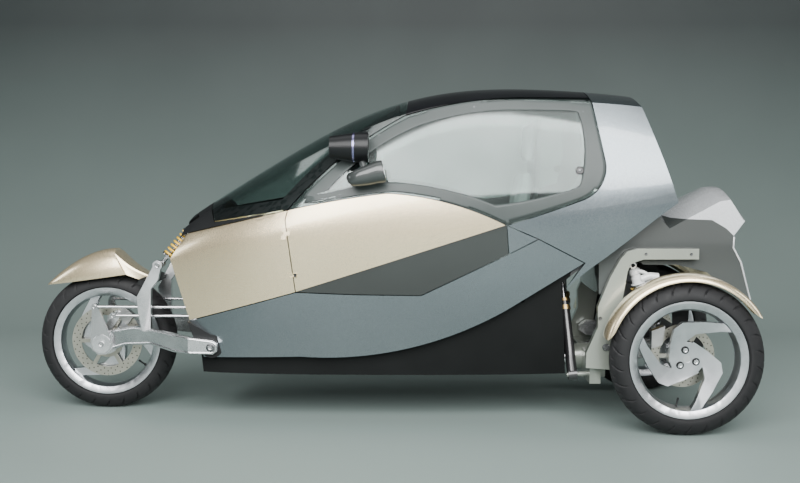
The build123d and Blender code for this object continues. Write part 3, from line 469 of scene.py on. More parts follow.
def makeSky(values):
    world = bpy.data.worlds.new("studio")
    world.use_nodes = True
    background = world.node_tree.nodes["Background"]
    background.inputs[0].default_value = values["tone"]
    background.inputs[1].default_value = values["power"]
    bpy.context.scene.world = world


makeFloor(floorShape)
for name, values in lights.items():
    makeLight(name, values)
makeSky(sky)
print("studio lit")


# Shared makers
weldWithin = 0.00003
touchWithin = 0.000001


def addPiece(name, mesh, body, finish, replaced=()):
    piece = bpy.data.objects.new(name, mesh)
    collection.objects.link(piece)
    mesh.materials.clear()
    mesh.materials.append(finishes[finish])
    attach(piece, body)
    for node in replaced:
        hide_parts(node)
    return piece


def finishMesh(bm, name, sharp=32):
    mesh = bpy.data.meshes.new(name)
    bm.to_mesh(mesh)
    bm.free()
    for polygon in mesh.polygons:
        polygon.use_smooth = True
    mesh.set_sharp_from_angle(angle=math.radians(sharp))
    return mesh


def bakedCopy(piece, name):
    depsgraph = bpy.context.evaluated_depsgraph_get()
    mesh = bpy.data.meshes.new_from_object(piece.evaluated_get(depsgraph), depsgraph=depsgraph)
    mesh.name = name
    return mesh


def applied(mesh, name, kind, values):
    rough = bpy.data.objects.new("rough", mesh)
    collection.objects.link(rough)
    modifier = rough.modifiers.new("made", kind)
    for key, value in values.items():
        setattr(modifier, key, value)
    made = bakedCopy(rough, name)
    bpy.data.objects.remove(rough)
    return made


def modified(bm, name, kind, values, sharp=32):
    return applied(finishMesh(bm, name, sharp), name, kind, values)


def edgeBevel(width, segments=3, degrees=34):
    return {"width": width, "segments": segments, "limit_method": "ANGLE", "angle_limit": math.radians(degrees)}


def outward(bm):
    bmesh.ops.remove_doubles(bm, verts=bm.verts, dist=touchWithin)
    bmesh.ops.recalc_face_normals(bm, faces=bm.faces)


def mirrored(bm):
    copy = bmesh.ops.duplicate(bm, geom=bm.verts[:] + bm.edges[:] + bm.faces[:])["geom"]
    for vertex in copy:
        if isinstance(vertex, bmesh.types.BMVert):
            vertex.co.y = -vertex.co.y


def closedPiece(name, bm, body, finish, replaced=(), sharp=40, paired=False):  # paired also mirrors it across
    if paired:
        mirrored(bm)
    outward(bm)
    return addPiece(name, finishMesh(bm, name, sharp), body, finish, replaced)


def nodeCopy(node, flatten=True):  # a node's mesh welded, and with its flat faces in one piece
    bm = bmesh.new()
    bm.from_mesh(nodes[node].data)
    bmesh.ops.remove_doubles(bm, verts=bm.verts, dist=weldWithin)
    if flatten:
        bmesh.ops.dissolve_limit(bm, angle_limit=math.radians(1.0), verts=bm.verts, edges=bm.edges)
        bmesh.ops.recalc_face_normals(bm, faces=bm.faces)
    return bm


# Rigid parts with their edges broken, as machined, cast and moulded parts have them
edgeWidths = {
    "front_arms": 0.0032, "front_axle": 0.0018, "hub_carrier": 0.0016, "front_caliper": 0.0025,
    "rear_calipers": 0.0025, "rear_frame": 0.004, "trailing_arms": 0.003, "engine_block": 0.005,
    "pivot_bosses": 0.003, "tail_hood": 0.006,
    "front_wheel": 0.003, "rear_wheel_left": 0.0045,
    "rear_wheel_right": 0.0045, "lean_barrel_left": 0.0012, "lean_barrel_right": 0.0012,
    "dashboard": 0.008, "tail_body": 0.003, "link_rods": 0.0008, "lean_shaft": 0.0015,
}


def soften(node, width):
    bevel = {**edgeBevel(width, 2), "use_clamp_overlap": True, "harden_normals": True}
    mesh = modified(nodeCopy(node), node + "Soft", "BEVEL", bevel, 30)
    addPiece(node + "Soft", mesh, bodyOf[node], finishOf[node], [node])


for node, width in edgeWidths.items():
    soften(node, width)
print("edges broken on", len(edgeWidths), "parts")

# Tyres: the section is carried round the axle, and grooves are pressed into the tread
frontTyre = {"hub": frontHub, "outer": 0.293, "width": 0.11, "rimHalf": 0.0445, "finish": "frontRubber"}
rearTyre = {"outer": 0.3, "width": 0.12, "rimHalf": 0.049, "finish": "rearRubber"}
tread = {
    "sectors": 26,
    "grooveHalf": 0.0034,
    "grooveDeep": 0.0042,
    "stepsRound": 780,
    "grooves": [(0.0, 0.1, 0.62, 0.55), (0.5, 0.4, 0.98, 0.75)],
    "endRound": (0.06, 0.1),
    "sideShift": 0.25,
    "radius": 0.29,
    "wall": 0.009,
    "crownSteps": 34,
    "innerSteps": 8,
}


def grooveDepth(turn, across, values):
    sector = 1.0 / values["sectors"]
    reach = abs(across)
    deepest = 0.0
    for start, low, high, slant in values["grooves"]:
        if reach < low or reach > high:
            continue
        offset = start + values["sideShift"] * (across > 0) + slant * (reach - low)
        away = (turn / sector - offset) % 1.0
        away = min(away, 1 - away) * sector * 2 * math.pi * values["radius"]
        ends = min((reach - low) / values["endRound"][0], (high - reach) / values["endRound"][1], 1.0)
        depth = max(0.0, 1 - (away / values["grooveHalf"]) ** 4) * min(1, max(0, ends))
        deepest = max(deepest, depth)
    return deepest * values["grooveDeep"]


def tyreSection(shape):
    half = shape["width"] / 2
    middle = shape["outer"] - half
    rim = shape["rimHalf"]
    inside = half - tread["wall"]
    wall = [
        (half, middle, 0), (half - 0.0008, middle - 0.0045, 0), (rim + 0.0044, 0.2365, 0),
        (rim + 0.004, 0.2335, 0), (rim + 0.0016, 0.2318, 0), (rim - 0.006, 0.2306, 0), (rim - 0.0092, 0.2168, 0),
        (rim - 0.0215, 0.2168, 0), (rim - 0.0135, 0.229, 0), (inside, middle, 0),
    ]
    crown = []
    for step in range(tread["crownSteps"] + 1):
        angle = math.pi * step / tread["crownSteps"]
        crown.append((half * math.cos(angle), middle + half * math.sin(angle), 1))
    inner = []
    for step in range(1, tread["innerSteps"]):
        angle = math.pi * step / tread["innerSteps"]
        inner.append((-inside * math.cos(angle), middle + inside * math.sin(angle), 0))
    left = [(-across, up, tag) for across, up, tag in wall]
    return crown[:-1] + left + inner + wall[::-1][:-1]


def makeTyre(wheel, shape):
    section = tyreSection(shape)
    half = shape["width"] / 2
    around = tread["stepsRound"]
    hubX, hubY, hubZ = shape["hub"]
    bm = bmesh.new()
    rings = []
    for step in range(around):
        turn = step / around
        angle = 2 * math.pi * turn
        ring = []
        for side, radius, isCrown in section:
            if isCrown:
                share = side / half
                depth = grooveDepth(turn, share, tread)
                radius -= depth * math.sqrt(max(0, 1 - share * share))
                side -= depth * share
            x, z = hubX + radius * math.sin(angle), hubZ + radius * math.cos(angle)
            ring.append(bm.verts.new((x, hubY + side, z)))
        rings.append(ring)
    for near, far in zip(rings, rings[1:] + rings[:1]):
        for index in range(len(section)):
            after = (index + 1) % len(section)
            bm.faces.new((near[index], far[index], far[after], near[after]))
    bmesh.ops.recalc_face_normals(bm, faces=bm.faces)
    node = wheel.replace("wheel", "tyre")
    mesh = finishMesh(bm, node + "Tread", 40)
    addPiece(node + "Tread", mesh, wheel, shape["finish"], [node])
    print("tyre", node, "faces", len(mesh.polygons))


makeTyre("front_wheel", frontTyre)
for side in sides:
    makeTyre(f"rear_wheel_{side}", {**rearTyre, "hub": rearHubs[side]})


# Mesh helpers: round forms turned about an axis, tubes along a line, flat prisms and lofts
def joinRings(bm, near, far):
    count = max(len(near), len(far))
    for step in range(count):
        after = (step + 1) % count
        if len(near) == 1:
            bm.faces.new((near[0], far[after], far[step]))
        elif len(far) == 1:
            bm.faces.new((near[step], near[after], far[0]))
        else:
            bm.faces.new((near[step], near[after], far[after], far[step]))


def loftInto(bm, rings, capped=False):
    for near, far in zip(rings, rings[1:]):
        joinRings(bm, near, far)
    if capped:
        bm.faces.new(rings[0][::-1])
        bm.faces.new(rings[-1])


def turnInto(bm, place, axis, profile, around=24, hexFrom=99):
    turn = Vector((0, 0, 1)).rotation_difference(Vector(axis)).to_matrix()
    rings = []
    for index, (radius, up) in enumerate(profile):
        if radius == 0:
            rings.append([bm.verts.new(turn @ Vector((0, 0, up)) + Vector(place))])
            continue
        ring = []
        for step in range(around):
            angle = 2 * math.pi * step / around
            reach = radius
            if index >= hexFrom:  # six flats, for a socket
                reach *= math.cos(math.pi / 6) / math.cos(angle % (math.pi / 3) - math.pi / 6)
            point = Vector((reach * math.cos(angle), reach * math.sin(angle), up))
            ring.append(bm.verts.new(turn @ point + Vector(place)))
        rings.append(ring)
    loftInto(bm, rings)


def boltInto(bm, place, axis, radius, height):
    edge = radius * 0.15
    turnInto(bm, place, axis, [
        (0, 0), (radius, 0), (radius, height - edge), (radius - edge, height), (radius * 0.58, height),
        (radius * 0.52, height - edge * 0.5), (radius * 0.52, height * 0.45), (0, height * 0.45)], 24, 5)


def tubeInto(bm, points, radius, around=10, closed=False):
    points = [Vector(point) for point in points]
    count = len(points)
    side = None
    rings = []
    for index, point in enumerate(points):
        before = points[(index - 1) % count] if closed or index else point
        after = points[(index + 1) % count] if closed or index < count - 1 else point
        way = (after - before).normalized()
        if side is None:
            side = way.orthogonal().normalized()
        side = (side - way * side.dot(way)).normalized()
        other = way.cross(side)
        ring = []
        for step in range(around):
            angle = 2 * math.pi * step / around
            ring.append(bm.verts.new(point + (side * math.cos(angle) + other * math.sin(angle)) * radius))
        rings.append(ring)
    loftInto(bm, rings, not closed)
    if closed:
        joinRings(bm, rings[-1], rings[0])


def prismInto(bm, outline, yFrom, yTo):
    near = [bm.verts.new((x, yFrom, z)) for x, z in outline]
    far = [bm.verts.new((x, yTo, z)) for x, z in outline]
    joinRings(bm, near, far)
    bm.faces.new(near[::-1])
    bm.faces.new(far)


skinTrees = {}


def skinPoint(node, x, z, side=1):  # the first point met from that side at this x and height
    if node not in skinTrees:
        bm = bmesh.new()
        bm.from_mesh(nodes[node].data)
        skinTrees[node] = BVHTree.FromBMesh(bm)
        bm.free()
    return skinTrees[node].ray_cast(Vector((x, 2 * side, z)), Vector((0, -side, 0)))[:2]


# The door hinges end level with the panels, so these run on over them
hinges = {"nose_panels": "cabin", "door_skin_left": "door_left", "door_skin_right": "door_right"}
hingeZone = {"x": 0.391, "heights": (0.612, 0.779), "reach": 0.044, "first": 0.44, "second": 0.42, "rise": 0.03,
             "inside": 0.3, "proud": 0.0007, "capX": 0.034, "capZ": 0.031}


def inZone(place, height, values, reachX, reachZ):
    return abs(place.x - values["x"]) < reachX and abs(place.z - height) < reachZ


def flushHinges(node, body, values):
    bm = nodeCopy(node, False)
    reach = values["reach"]
    for sign in sides.values():
        for height in values["heights"]:
            spots = ((values["first"], height), (values["second"], height),
                     (values["second"], height + values["rise"]))
            places = [skinPoint("nose_panels", x, z, sign)[0] for x, z in spots]
            normal = (places[1] - places[0]).cross(places[2] - places[1]).normalized()
            normal *= math.copysign(1, normal.y) * sign
            zone = [vertex for vertex in bm.verts
                    if inZone(vertex.co, height, values, reach, reach) and vertex.co.y * sign > values["inside"]]
            held = set(zone)
            zone += [edge for edge in bm.edges if held.issuperset(edge.verts)]
            zone += [face for face in bm.faces if held.issuperset(face.verts)]
            level = places[1] + normal * values["proud"]
            cut = bmesh.ops.bisect_plane(
                bm, geom=zone, dist=touchWithin, plane_co=level, plane_no=normal, clear_outer=True)["geom_cut"]
            rims = [item for item in cut if isinstance(item, bmesh.types.BMEdge) and len(item.link_faces) == 1]
            bmesh.ops.holes_fill(bm, edges=rims)
    bmesh.ops.recalc_face_normals(bm, faces=bm.faces)
    mesh = finishMesh(bm, node + "Flush", 30)
    for edge in mesh.edges:  # the caps keep their own flat shading, so the panel round them stays smooth
        ends = [mesh.vertices[corner].co for corner in edge.vertices]
        for height in values["heights"]:
            if all(inZone(end, height, values, values["capX"], values["capZ"]) for end in ends):
                edge.use_edge_sharp = True
    addPiece(node + "Flush", mesh, body, "beige", [node])


for node, body in hinges.items():
    flushHinges(node, body, hingeZone)
print("hinges flush")

# Front mudguard: a pointed hood with a sharp crest behind it, then a narrower tail
frontFender = {
    "tip": (1.455, 0.53),
    "crown": (1.15, 0.689),
    "crest": (1.095, 0.583),
    "tailTop": (1.008, 0.58),
    "tailFoot": (1.018, 0.547),
    "dip": 0.012,
    "wide": 0.088,
    "neck": 0.074,
    "tailWide": 0.052,
    "thick": 0.004,
    "lanes": 16,
    "hoodSteps": 30,
    "tailSteps": 12,
    "rise": 1.9,
    "spread": 2.2,
    "arch": 0.82,
    "sweep": 1.3,
    "flank": 0.85,
    "thinnest": 0.0008,
    "tuck": (0.002, 0.009),
    "roof": {"reach": 0.62, "down": 0.062, "slope": 0.1, "spread": 1.55, "flank": 0.95},
    "stay": [(0.986, 0.54), (1.026, 0.551), (1.014, 0.574), (0.98, 0.56)],
    "stayHalf": 0.172,
}


def between(low, high, share):
    return low + (high - low) * share


def shiftedBetween(low, high, share, shift):  # starts a little off the first point and ends on the second
    return low - shift + (high - low + shift) * share


def makeFrontFender(values):
    tip, crown, crest = values["tip"], values["crown"], values["crest"]
    top, foot = values["tailTop"], values["tailFoot"]
    across, roof = values["lanes"], values["roof"]
    tuckX, tuckZ = values["tuck"]
    bm = bmesh.new()
    rows = []
    for step in range(values["hoodSteps"] + 1):
        share = step / values["hoodSteps"]
        topX = between(tip[0], crown[0], share)
        topZ = between(tip[1], crown[1], 1 - (1 - share) ** values["rise"])
        lowX = between(tip[0], crest[0], share)
        lowZ = between(tip[1], crest[1], share)
        wide = max(values["thinnest"], values["wide"] * (1 - (1 - share) ** values["spread"]) ** 0.5)
        row = []
        for lane in range(-across, across + 1):
            angle = math.pi / 2 * abs(lane) / across
            down = 1 - math.cos(angle) ** values["arch"]
            side = wide * math.sin(angle) ** values["flank"]
            lean = down ** values["sweep"]
            row.append((between(topX, lowX, lean), math.copysign(side, lane), between(topZ, lowZ, down)))
        rows.append(row)
    for step in range(values["tailSteps"] + 1):
        share = step / values["tailSteps"]
        topX = shiftedBetween(crown[0], top[0], share, tuckX)
        topZ = shiftedBetween(crown[1], top[1], share, tuckZ) - values["dip"] * math.sin(math.pi * share)
        lowX = between(crest[0], foot[0], share)
        lowZ = shiftedBetween(crest[1], foot[1], share, tuckX)
        wide = between(values["neck"], values["tailWide"], share)
        row = []
        for lane in range(-across, across + 1):
            reach = abs(lane) / across
            side = wide * min(1, reach * roof["spread"]) ** roof["flank"]
            down = roof["slope"] * reach
            if reach >= roof["reach"]:
                down = roof["down"] + (reach - roof["reach"]) / (1 - roof["reach"]) * (1 - roof["down"])
            row.append((between(topX, lowX, down), math.copysign(side, lane), between(topZ, lowZ, down)))
        rows.append(row)
    made = [[bm.verts.new(point) for point in row] for row in rows]
    for near, far in zip(made, made[1:]):
        for lane in range(2 * across):
            bm.faces.new((near[lane], near[lane + 1], far[lane + 1], far[lane]))
    bmesh.ops.remove_doubles(bm, verts=bm.verts, dist=0.00002)
    bmesh.ops.recalc_face_normals(bm, faces=bm.faces)
    if sum(face.normal.z for face in bm.faces) < 0:
        bmesh.ops.reverse_faces(bm, faces=bm.faces)
    wall = {"thickness": values["thick"], "offset": -1, "use_even_offset": True}
    mesh = modified(bm, "frontHood", "SOLIDIFY", wall, 26)
    mesh.set_sharp_from_angle(angle=math.radians(26))
    addPiece("frontHood", mesh, "cabin", "beige", ["front_fender"])
    bm = bmesh.new()
    prismInto(bm, values["stay"], -values["stayHalf"], values["stayHalf"])
    closedPiece("frontHoodStay", bm, "cabin", "grainedBlack", sharp=32)


makeFrontFender(frontFender)
print("front mudguard made")

# Rear mudguards: a crowned band with a rolled lip, carried round the axle
rearFender = {
    "angles": (14, 149),
    "section": [
        (0.358, 0.315), (0.358, 0.324), (0.372, 0.33), (0.4, 0.3335), (0.435, 0.333), (0.46, 0.329),
        (0.474, 0.321), (0.479, 0.31), (0.4785, 0.3055), (0.4755, 0.305), (0.4735, 0.309), (0.469, 0.3165),
        (0.456, 0.3235), (0.433, 0.3275), (0.4, 0.328), (0.374, 0.3245), (0.363, 0.319), (0.362, 0.3145),
    ],
    "steps": 64,
    "rounded": 5,
    "leastPull": 0.06,
    "narrowed": 0.8,
    "band": 0.326,
    "stayHalf": 0.04,
    "stayTop": 0.318,
    "stayFoot": (0.026, 0.014),
    "stayWalls": ((0.306, 0.311), (0.3109, 0.366)),
    "stayThick": 0.005,
}


def makeRearFenders(values):
    hubX, hubY, hubZ = rearHubs["left"]
    low, high = values["angles"]
    bm = bmesh.new()
    steps, narrowed = values["steps"], values["narrowed"]
    rings = []
    for step in range(steps + 1):
        angle = math.radians(low + (high - low) * step / steps)
        toEnd = min(step, steps - step) / values["rounded"]
        pull = math.sqrt(max(values["leastPull"], 1 - (1 - min(1, toEnd)) ** 2))
        ring = []
        for y, radius in values["section"]:
            side = hubY + (y - hubY) * (narrowed + (1 - narrowed) * pull)
            reach = values["band"] + (radius - values["band"]) * pull
            ring.append(bm.verts.new((hubX + reach * math.cos(angle), side, hubZ + reach * math.sin(angle))))
        rings.append(ring)
    loftInto(bm, rings, True)
    closedPiece("rearMudguards", bm, "rear_module", "beige", ["rear_fenders"], paired=True)
    bm = bmesh.new()
    half = values["stayHalf"]
    top = hubZ + values["stayTop"]
    ledge = top - values["stayThick"]
    footHalf, foot = values["stayFoot"]
    web, shelf = values["stayWalls"]
    outline = [(hubX - footHalf, hubZ + foot), (hubX + footHalf, hubZ + foot), (hubX + half, top),
               (hubX - half, top)]
    prismInto(bm, outline, *web)
    prismInto(bm, [(hubX - half, ledge), (hubX + half, ledge), (hubX + half, top), (hubX - half, top)], *shelf)
    closedPiece("rearMudguardStays", bm, "rear_module", "grainedBlack", sharp=32, paired=True)


makeRearFenders(rearFender)
print("rear mudguards made")

# Leading arms: raised rims round the recessed web, hub covers and pivot bolts
armTrim = {
    "top": [(1.152, 0.344), (1.1, 0.3545), (1.043, 0.367), (0.967, 0.364), (0.86, 0.3525), (0.76, 0.341),
            (0.702, 0.3335)],
    "bottom": [(0.702, 0.288), (0.78, 0.2885), (0.858, 0.2925), (0.968, 0.313), (1.085, 0.299), (1.152, 0.276)],
    "pivot": (0.699, 0.31),
    "turn": 0.0225,
    "rim": 0.004,
    "rimOut": 0.0008,
    "outer": [(1.24, 0.112), (1.146, 0.112), (0.966, 0.203), (0.79, 0.294), (0.66, 0.294)],
    "washerAt": (0.699, 0.293, 0.31),
    "washer": [(0, 0), (0.0175, 0), (0.0175, 0.003), (0.016, 0.0042), (0.0125, 0.0042), (0.0115, 0.003),
               (0, 0.003)],
    "bolts": [((0.699, 0.296, 0.31), 0.0105, 0.006), ((0.933, 0.1995, 0.633), 0.0115, 0.006),
              ((1.191, 0.129, 0.293), 0.012, 0.007), ((1.214, 0.1405, 0.452), 0.008, 0.006),
              ((1.137, 0.1405, 0.415), 0.008, 0.006)],
    "coverAt": (1.191, 0.1255, 0.293),
    "cover": [(0, 0), (0.04, 0), (0.04, 0.002), (0.0385, 0.0036), (0.029, 0.0036), (0.028, 0.0022),
              (0.019, 0.0022), (0.018, 0.0042), (0, 0.0042)],
}


def armFace(line, x):
    for (fromX, fromY), (toX, toY) in zip(line, line[1:]):
        if x >= toX:
            return fromY + (toY - fromY) * (fromX - x) / (fromX - toX)
    return line[-1][1]


def fillIn(points, step):
    dense = []
    for start, end in zip(points, points[1:]):
        count = max(1, round((Vector(end) - Vector(start)).length / step))
        dense += [tuple(Vector(start).lerp(Vector(end), share / count)) for share in range(count)]
    return dense + [points[-1]]


def makeArmTrim(values):
    pivotX, pivotZ = values["pivot"]
    top, bottom = values["top"], values["bottom"]
    bend = []
    for step in range(1, 12):
        angle = math.pi / 2 + math.pi * step / 12
        bend.append((pivotX + values["turn"] * math.cos(angle), pivotZ + values["turn"] * math.sin(angle)))
    loop = fillIn(top, 0.012) + bend + fillIn(bottom, 0.012) + fillIn([bottom[-1], top[0]], 0.02)[1:-1]
    bm = bmesh.new()
    rim = [(x, armFace(values["outer"], x) + values["rimOut"], z) for x, z in loop]
    tubeInto(bm, rim, values["rim"], 10, True)
    closedPiece("armRims", bm, "cabin", "polished", sharp=60, paired=True)
    bm = bmesh.new()
    turnInto(bm, values["washerAt"], (0, 1, 0), values["washer"], 36)
    closedPiece("pivotWashers", bm, "cabin", "darkSteel", paired=True)
    bm = bmesh.new()
    for spot, radius, height in values["bolts"]:
        boltInto(bm, spot, (0, 1, 0), radius, height)
    closedPiece("armBolts", bm, "cabin", "brightSteel", paired=True)
    bm = bmesh.new()
    turnInto(bm, values["coverAt"], (0, 1, 0), values["cover"], 48)
    closedPiece("hubCovers", bm, "cabin", "satinAlloy", paired=True)


makeArmTrim(armTrim)
print("leading arms trimmed")

# Rear wheels: three bolts in black cups, and a valve in every rim
wheelTrim = {"boltCircle": 0.036, "firstBolt": 77, "cup": 0.015, "bolt": 0.0098, "faceOut": 0.0115}
valveForm = [(0, -0.01), (0.0052, -0.01), (0.0052, 0.006), (0.0036, 0.009), (0.0036, 0.026), (0.0044, 0.027),
             (0.0044, 0.036), (0, 0.037)]


def makeWheelTrim(side, sign, values):
    hubX, hubY, hubZ = rearHubs[side]
    face = hubY + sign * values["faceOut"]
    circle, cup, bolt = values["boltCircle"], values["cup"], values["bolt"]
    profile = [(0, 0), (cup, 0), (cup, 0.0025), (cup - 0.0012, 0.0036), (bolt + 0.001, 0.0036),
               (bolt + 0.0005, 0.0012), (0, 0.0012)]
    cups = bmesh.new()
    bolts = bmesh.new()
    for step in range(3):
        angle = math.radians(values["firstBolt"] + 120 * step)
        x, z = hubX + circle * math.cos(angle), hubZ + circle * math.sin(angle)
        turnInto(cups, (x, face, z), (0, sign, 0), profile, 32)
        boltInto(bolts, (x, face + sign * 0.001, z), (0, sign, 0), bolt, 0.0078)
    closedPiece(f"wheelCups_{side}", cups, f"rear_wheel_{side}", "grainedBlack")
    closedPiece(f"wheelBolts_{side}", bolts, f"rear_wheel_{side}", "polished")


def makeValve(name, hub, forward, down, body):
    bm = bmesh.new()
    way = Vector((-forward, 0, down)).normalized()
    turnInto(bm, (hub[0] + forward, hub[1] + 0.012, hub[2] - down), way, valveForm, 14)
    closedPiece(name, bm, body, "grainedBlack")


for side, sign in sides.items():
    makeWheelTrim(side, sign, wheelTrim)
    makeValve(f"rearValve_{side}", rearHubs[side], 0.039, 0.188, f"rear_wheel_{side}")
makeValve("frontValve", frontHub, -0.157, 0.109, "front_wheel")
print("wheels trimmed")


# Disc perforations: rings of small black plugs, laid out by one node tree; they are painted shade standing in for
# open holes
def makeHoleShadeTree():
    tree = bpy.data.node_groups.new("discHoleShade", "GeometryNodeTree")
    tree.interface.new_socket("Geometry", in_out="INPUT", socket_type="NodeSocketGeometry")
    kinds = {"Around": "Int", "Inner radius": "Float", "Row step": "Float", "Hole radius": "Float", "Depth": "Float",
             "Finish": "Material"}
    for name, kind in kinds.items():
        tree.interface.new_socket(name, in_out="INPUT", socket_type="NodeSocket" + kind)
    tree.interface.new_socket("Geometry", in_out="OUTPUT", socket_type="NodeSocketGeometry")
    add = tree.nodes.new
    link = tree.links.new
    start = add("NodeGroupInput")
    join = add("GeometryNodeJoinGeometry")
    for row in range(3):
        reach = add("ShaderNodeMath")
        reach.operation = "MULTIPLY_ADD"
        reach.inputs[0].default_value = row
        link(start.outputs["Row step"], reach.inputs[1])
        link(start.outputs["Inner radius"], reach.inputs[2])
        ring = add("GeometryNodeMeshCircle")
        link(start.outputs["Around"], ring.inputs["Vertices"])
        link(reach.outputs[0], ring.inputs["Radius"])
        turn = add("GeometryNodeTransform")
        turn.inputs["Rotation"].default_value = (0, 0, 0.11 * row)
        link(ring.outputs[0], turn.inputs["Geometry"])
        link(turn.outputs[0], join.inputs[0])
    hole = add("GeometryNodeMeshCylinder")
    hole.inputs["Vertices"].default_value = 10
    link(start.outputs["Hole radius"], hole.inputs["Radius"])
    link(start.outputs["Depth"], hole.inputs["Depth"])
    spread = add("GeometryNodeInstanceOnPoints")
    link(join.outputs[0], spread.inputs["Points"])
    link(hole.outputs["Mesh"], spread.inputs["Instance"])
    real = add("GeometryNodeRealizeInstances")
    link(spread.outputs[0], real.inputs[0])
    paint = add("GeometryNodeSetMaterial")
    link(real.outputs[0], paint.inputs["Geometry"])
    link(start.outputs["Finish"], paint.inputs["Material"])
    end = add("NodeGroupOutput")
    link(paint.outputs[0], end.inputs[0])
    return tree


rearHoles = {"around": 22, "inner": 0.0985, "step": 0.01, "hole": 0.0025}
discHoleShade = {
    "frontDiscHoleShade": {"body": "front_wheel", "centre": (1.191, 0.037, 0.293), "around": 26, "inner": 0.119,
                       "step": 0.0115, "hole": 0.0027},
    "rearDiscHoleShade_left": {"body": "rear_wheel_left", "centre": (-1.184, 0.357, 0.3), **rearHoles},
    "rearDiscHoleShade_right": {"body": "rear_wheel_right", "centre": (-1.184, -0.357, 0.3), **rearHoles},
}
holeDepth = 0.0064
holeShadeTree = makeHoleShadeTree()


def makeDiscHoleShade(name, values):  # the tree's inputs are set by their identifiers
    seed = bpy.data.objects.new("seed", bpy.data.meshes.new("seed"))
    collection.objects.link(seed)
    modifier = seed.modifiers.new("holes", "NODES")
    modifier.node_group = holeShadeTree
    # the plugs take the black plastic finish as painted shade, in place of open holes
    wanted = {"Around": values["around"], "Inner radius": values["inner"], "Row step": values["step"],
              "Hole radius": values["hole"], "Depth": holeDepth, "Finish": finishes["grainedBlack"]}
    for socket in holeShadeTree.interface.items_tree:
        if socket.in_out == "INPUT" and socket.name in wanted:
            modifier[socket.identifier] = wanted[socket.name]
    mesh = bakedCopy(seed, name)
    bpy.data.objects.remove(seed)
    mesh.transform(Matrix.Translation(values["centre"]) @ Matrix.Rotation(math.pi / 2, 4, "X"))
    addPiece(name, mesh, values["body"], "grainedBlack")
    return len(mesh.polygons)


for name, values in discHoleShade.items():
    print("disc holes", name, "faces", makeDiscHoleShade(name, values))

# Mirror pods: a rounded drum whose rear end carries the glass; the lamp pod keeps its CAD form
mirrorShape = {
    "stations": [
        (0.14, 0.4, 1.001, 0.01, 0.006), (0.134, 0.401, 0.999, 0.026, 0.018), (0.122, 0.403, 0.993, 0.036, 0.027),
        (0.098, 0.403, 0.999, 0.043, 0.033), (0.06, 0.402, 1.008, 0.047, 0.038), (0.02, 0.402, 1.02, 0.049, 0.042),
        (0.0, 0.402, 1.0235, 0.0495, 0.0435), (-0.006, 0.402, 1.024, 0.047, 0.041),
    ],
    "lean": 0.22,
    "leanFrom": 0.1,
    "lampHeight": 1.1,
    "lampEdge": 0.004,
    "arms": [([(0.062, 0.385, 1.004), (0.068, 0.352, 1.012), (0.074, 0.322, 1.03)], 0.012),
             ([(0.07, 0.372, 1.02), (0.078, 0.356, 1.05), (0.084, 0.342, 1.075)], 0.015)],
    "glass": [(0.86, 0.0006), (0.84, 0.0016)],
}


def lampOnly(bm, lampHeight):  # drops the loose parts that end below the lamp
    seen = set()
    for vertex in bm.verts:
        if vertex in seen:
            continue
        island = {vertex}
        queue = [vertex]
        while queue:
            for edge in queue.pop().link_edges:
                for other in edge.verts:
                    if other not in island:
                        island.add(other)
                        queue.append(other)
        seen |= island
        if max(v.co.z for v in island) < lampHeight:
            for v in island:
                v.tag = True
    bmesh.ops.delete(bm, geom=[v for v in bm.verts if v.tag], context="VERTS")


def squared(value):  # a sine or cosine pushed a little towards its ends
    return math.copysign(abs(value) ** 0.8, value)


def drumRing(bm, station, sign, lean, share=1, back=0, around=40):  # one section, between a circle and a square
    x, y, z, wide, high = station
    ring = []
    for step in range(around):
        angle = 2 * math.pi * step / around
        out = squared(math.cos(angle)) * share
        up = squared(math.sin(angle)) * share
        ring.append(bm.verts.new((x - back + lean * high * up, sign * (y + wide * out), z + high * up)))
    return ring


def makePods(side, sign, values):
    node = f"door_pods_{side}"
    body = f"door_{side}"
    bm = nodeCopy(node)
    lampOnly(bm, values["lampHeight"])
    mesh = modified(bm, "lampPod", "BEVEL", edgeBevel(values["lampEdge"]), 40)
    addPiece(f"lampPod_{side}", mesh, body, "podBlack", [node])
    bm = bmesh.new()
    rings = []
    for station in values["stations"]:
        rings.append(drumRing(bm, station, sign, values["lean"] if station[0] < values["leanFrom"] else 0))
    loftInto(bm, rings, True)
    for arm, radius in values["arms"]:
        tubeInto(bm, [(x, sign * y, z) for x, y, z in arm], radius, 16)
    closedPiece(f"mirrorPod_{side}", bm, body, "podGrey", sharp=35)
    bm = bmesh.new()
    glass = [drumRing(bm, values["stations"][-1], sign, values["lean"], *row) for row in values["glass"]]
    loftInto(bm, glass, True)
    closedPiece(f"mirrorGlass_{side}", bm, body, "mirrorGlass", sharp=35)


# Lamp trims: a bright band round the outer half of the drum, a reflector and a rim at the lens
lampTrim = {
    "place": (0.338, 1.117),
    "band": [(0.112, 0.0555), (0.112, 0.0595), (0.12, 0.0577), (0.12, 0.0535)],
    "steps": 32,
    "bandHalf": 84,
    "reflectorX": 0.188,
    "reflector": [(0, 0.0015), (0.01, 0.002), (0.024, 0.0065), (0.0355, 0.0125), (0.0365, 0.0125),
                  (0.0365, 0.0005), (0, 0.0005)],
}


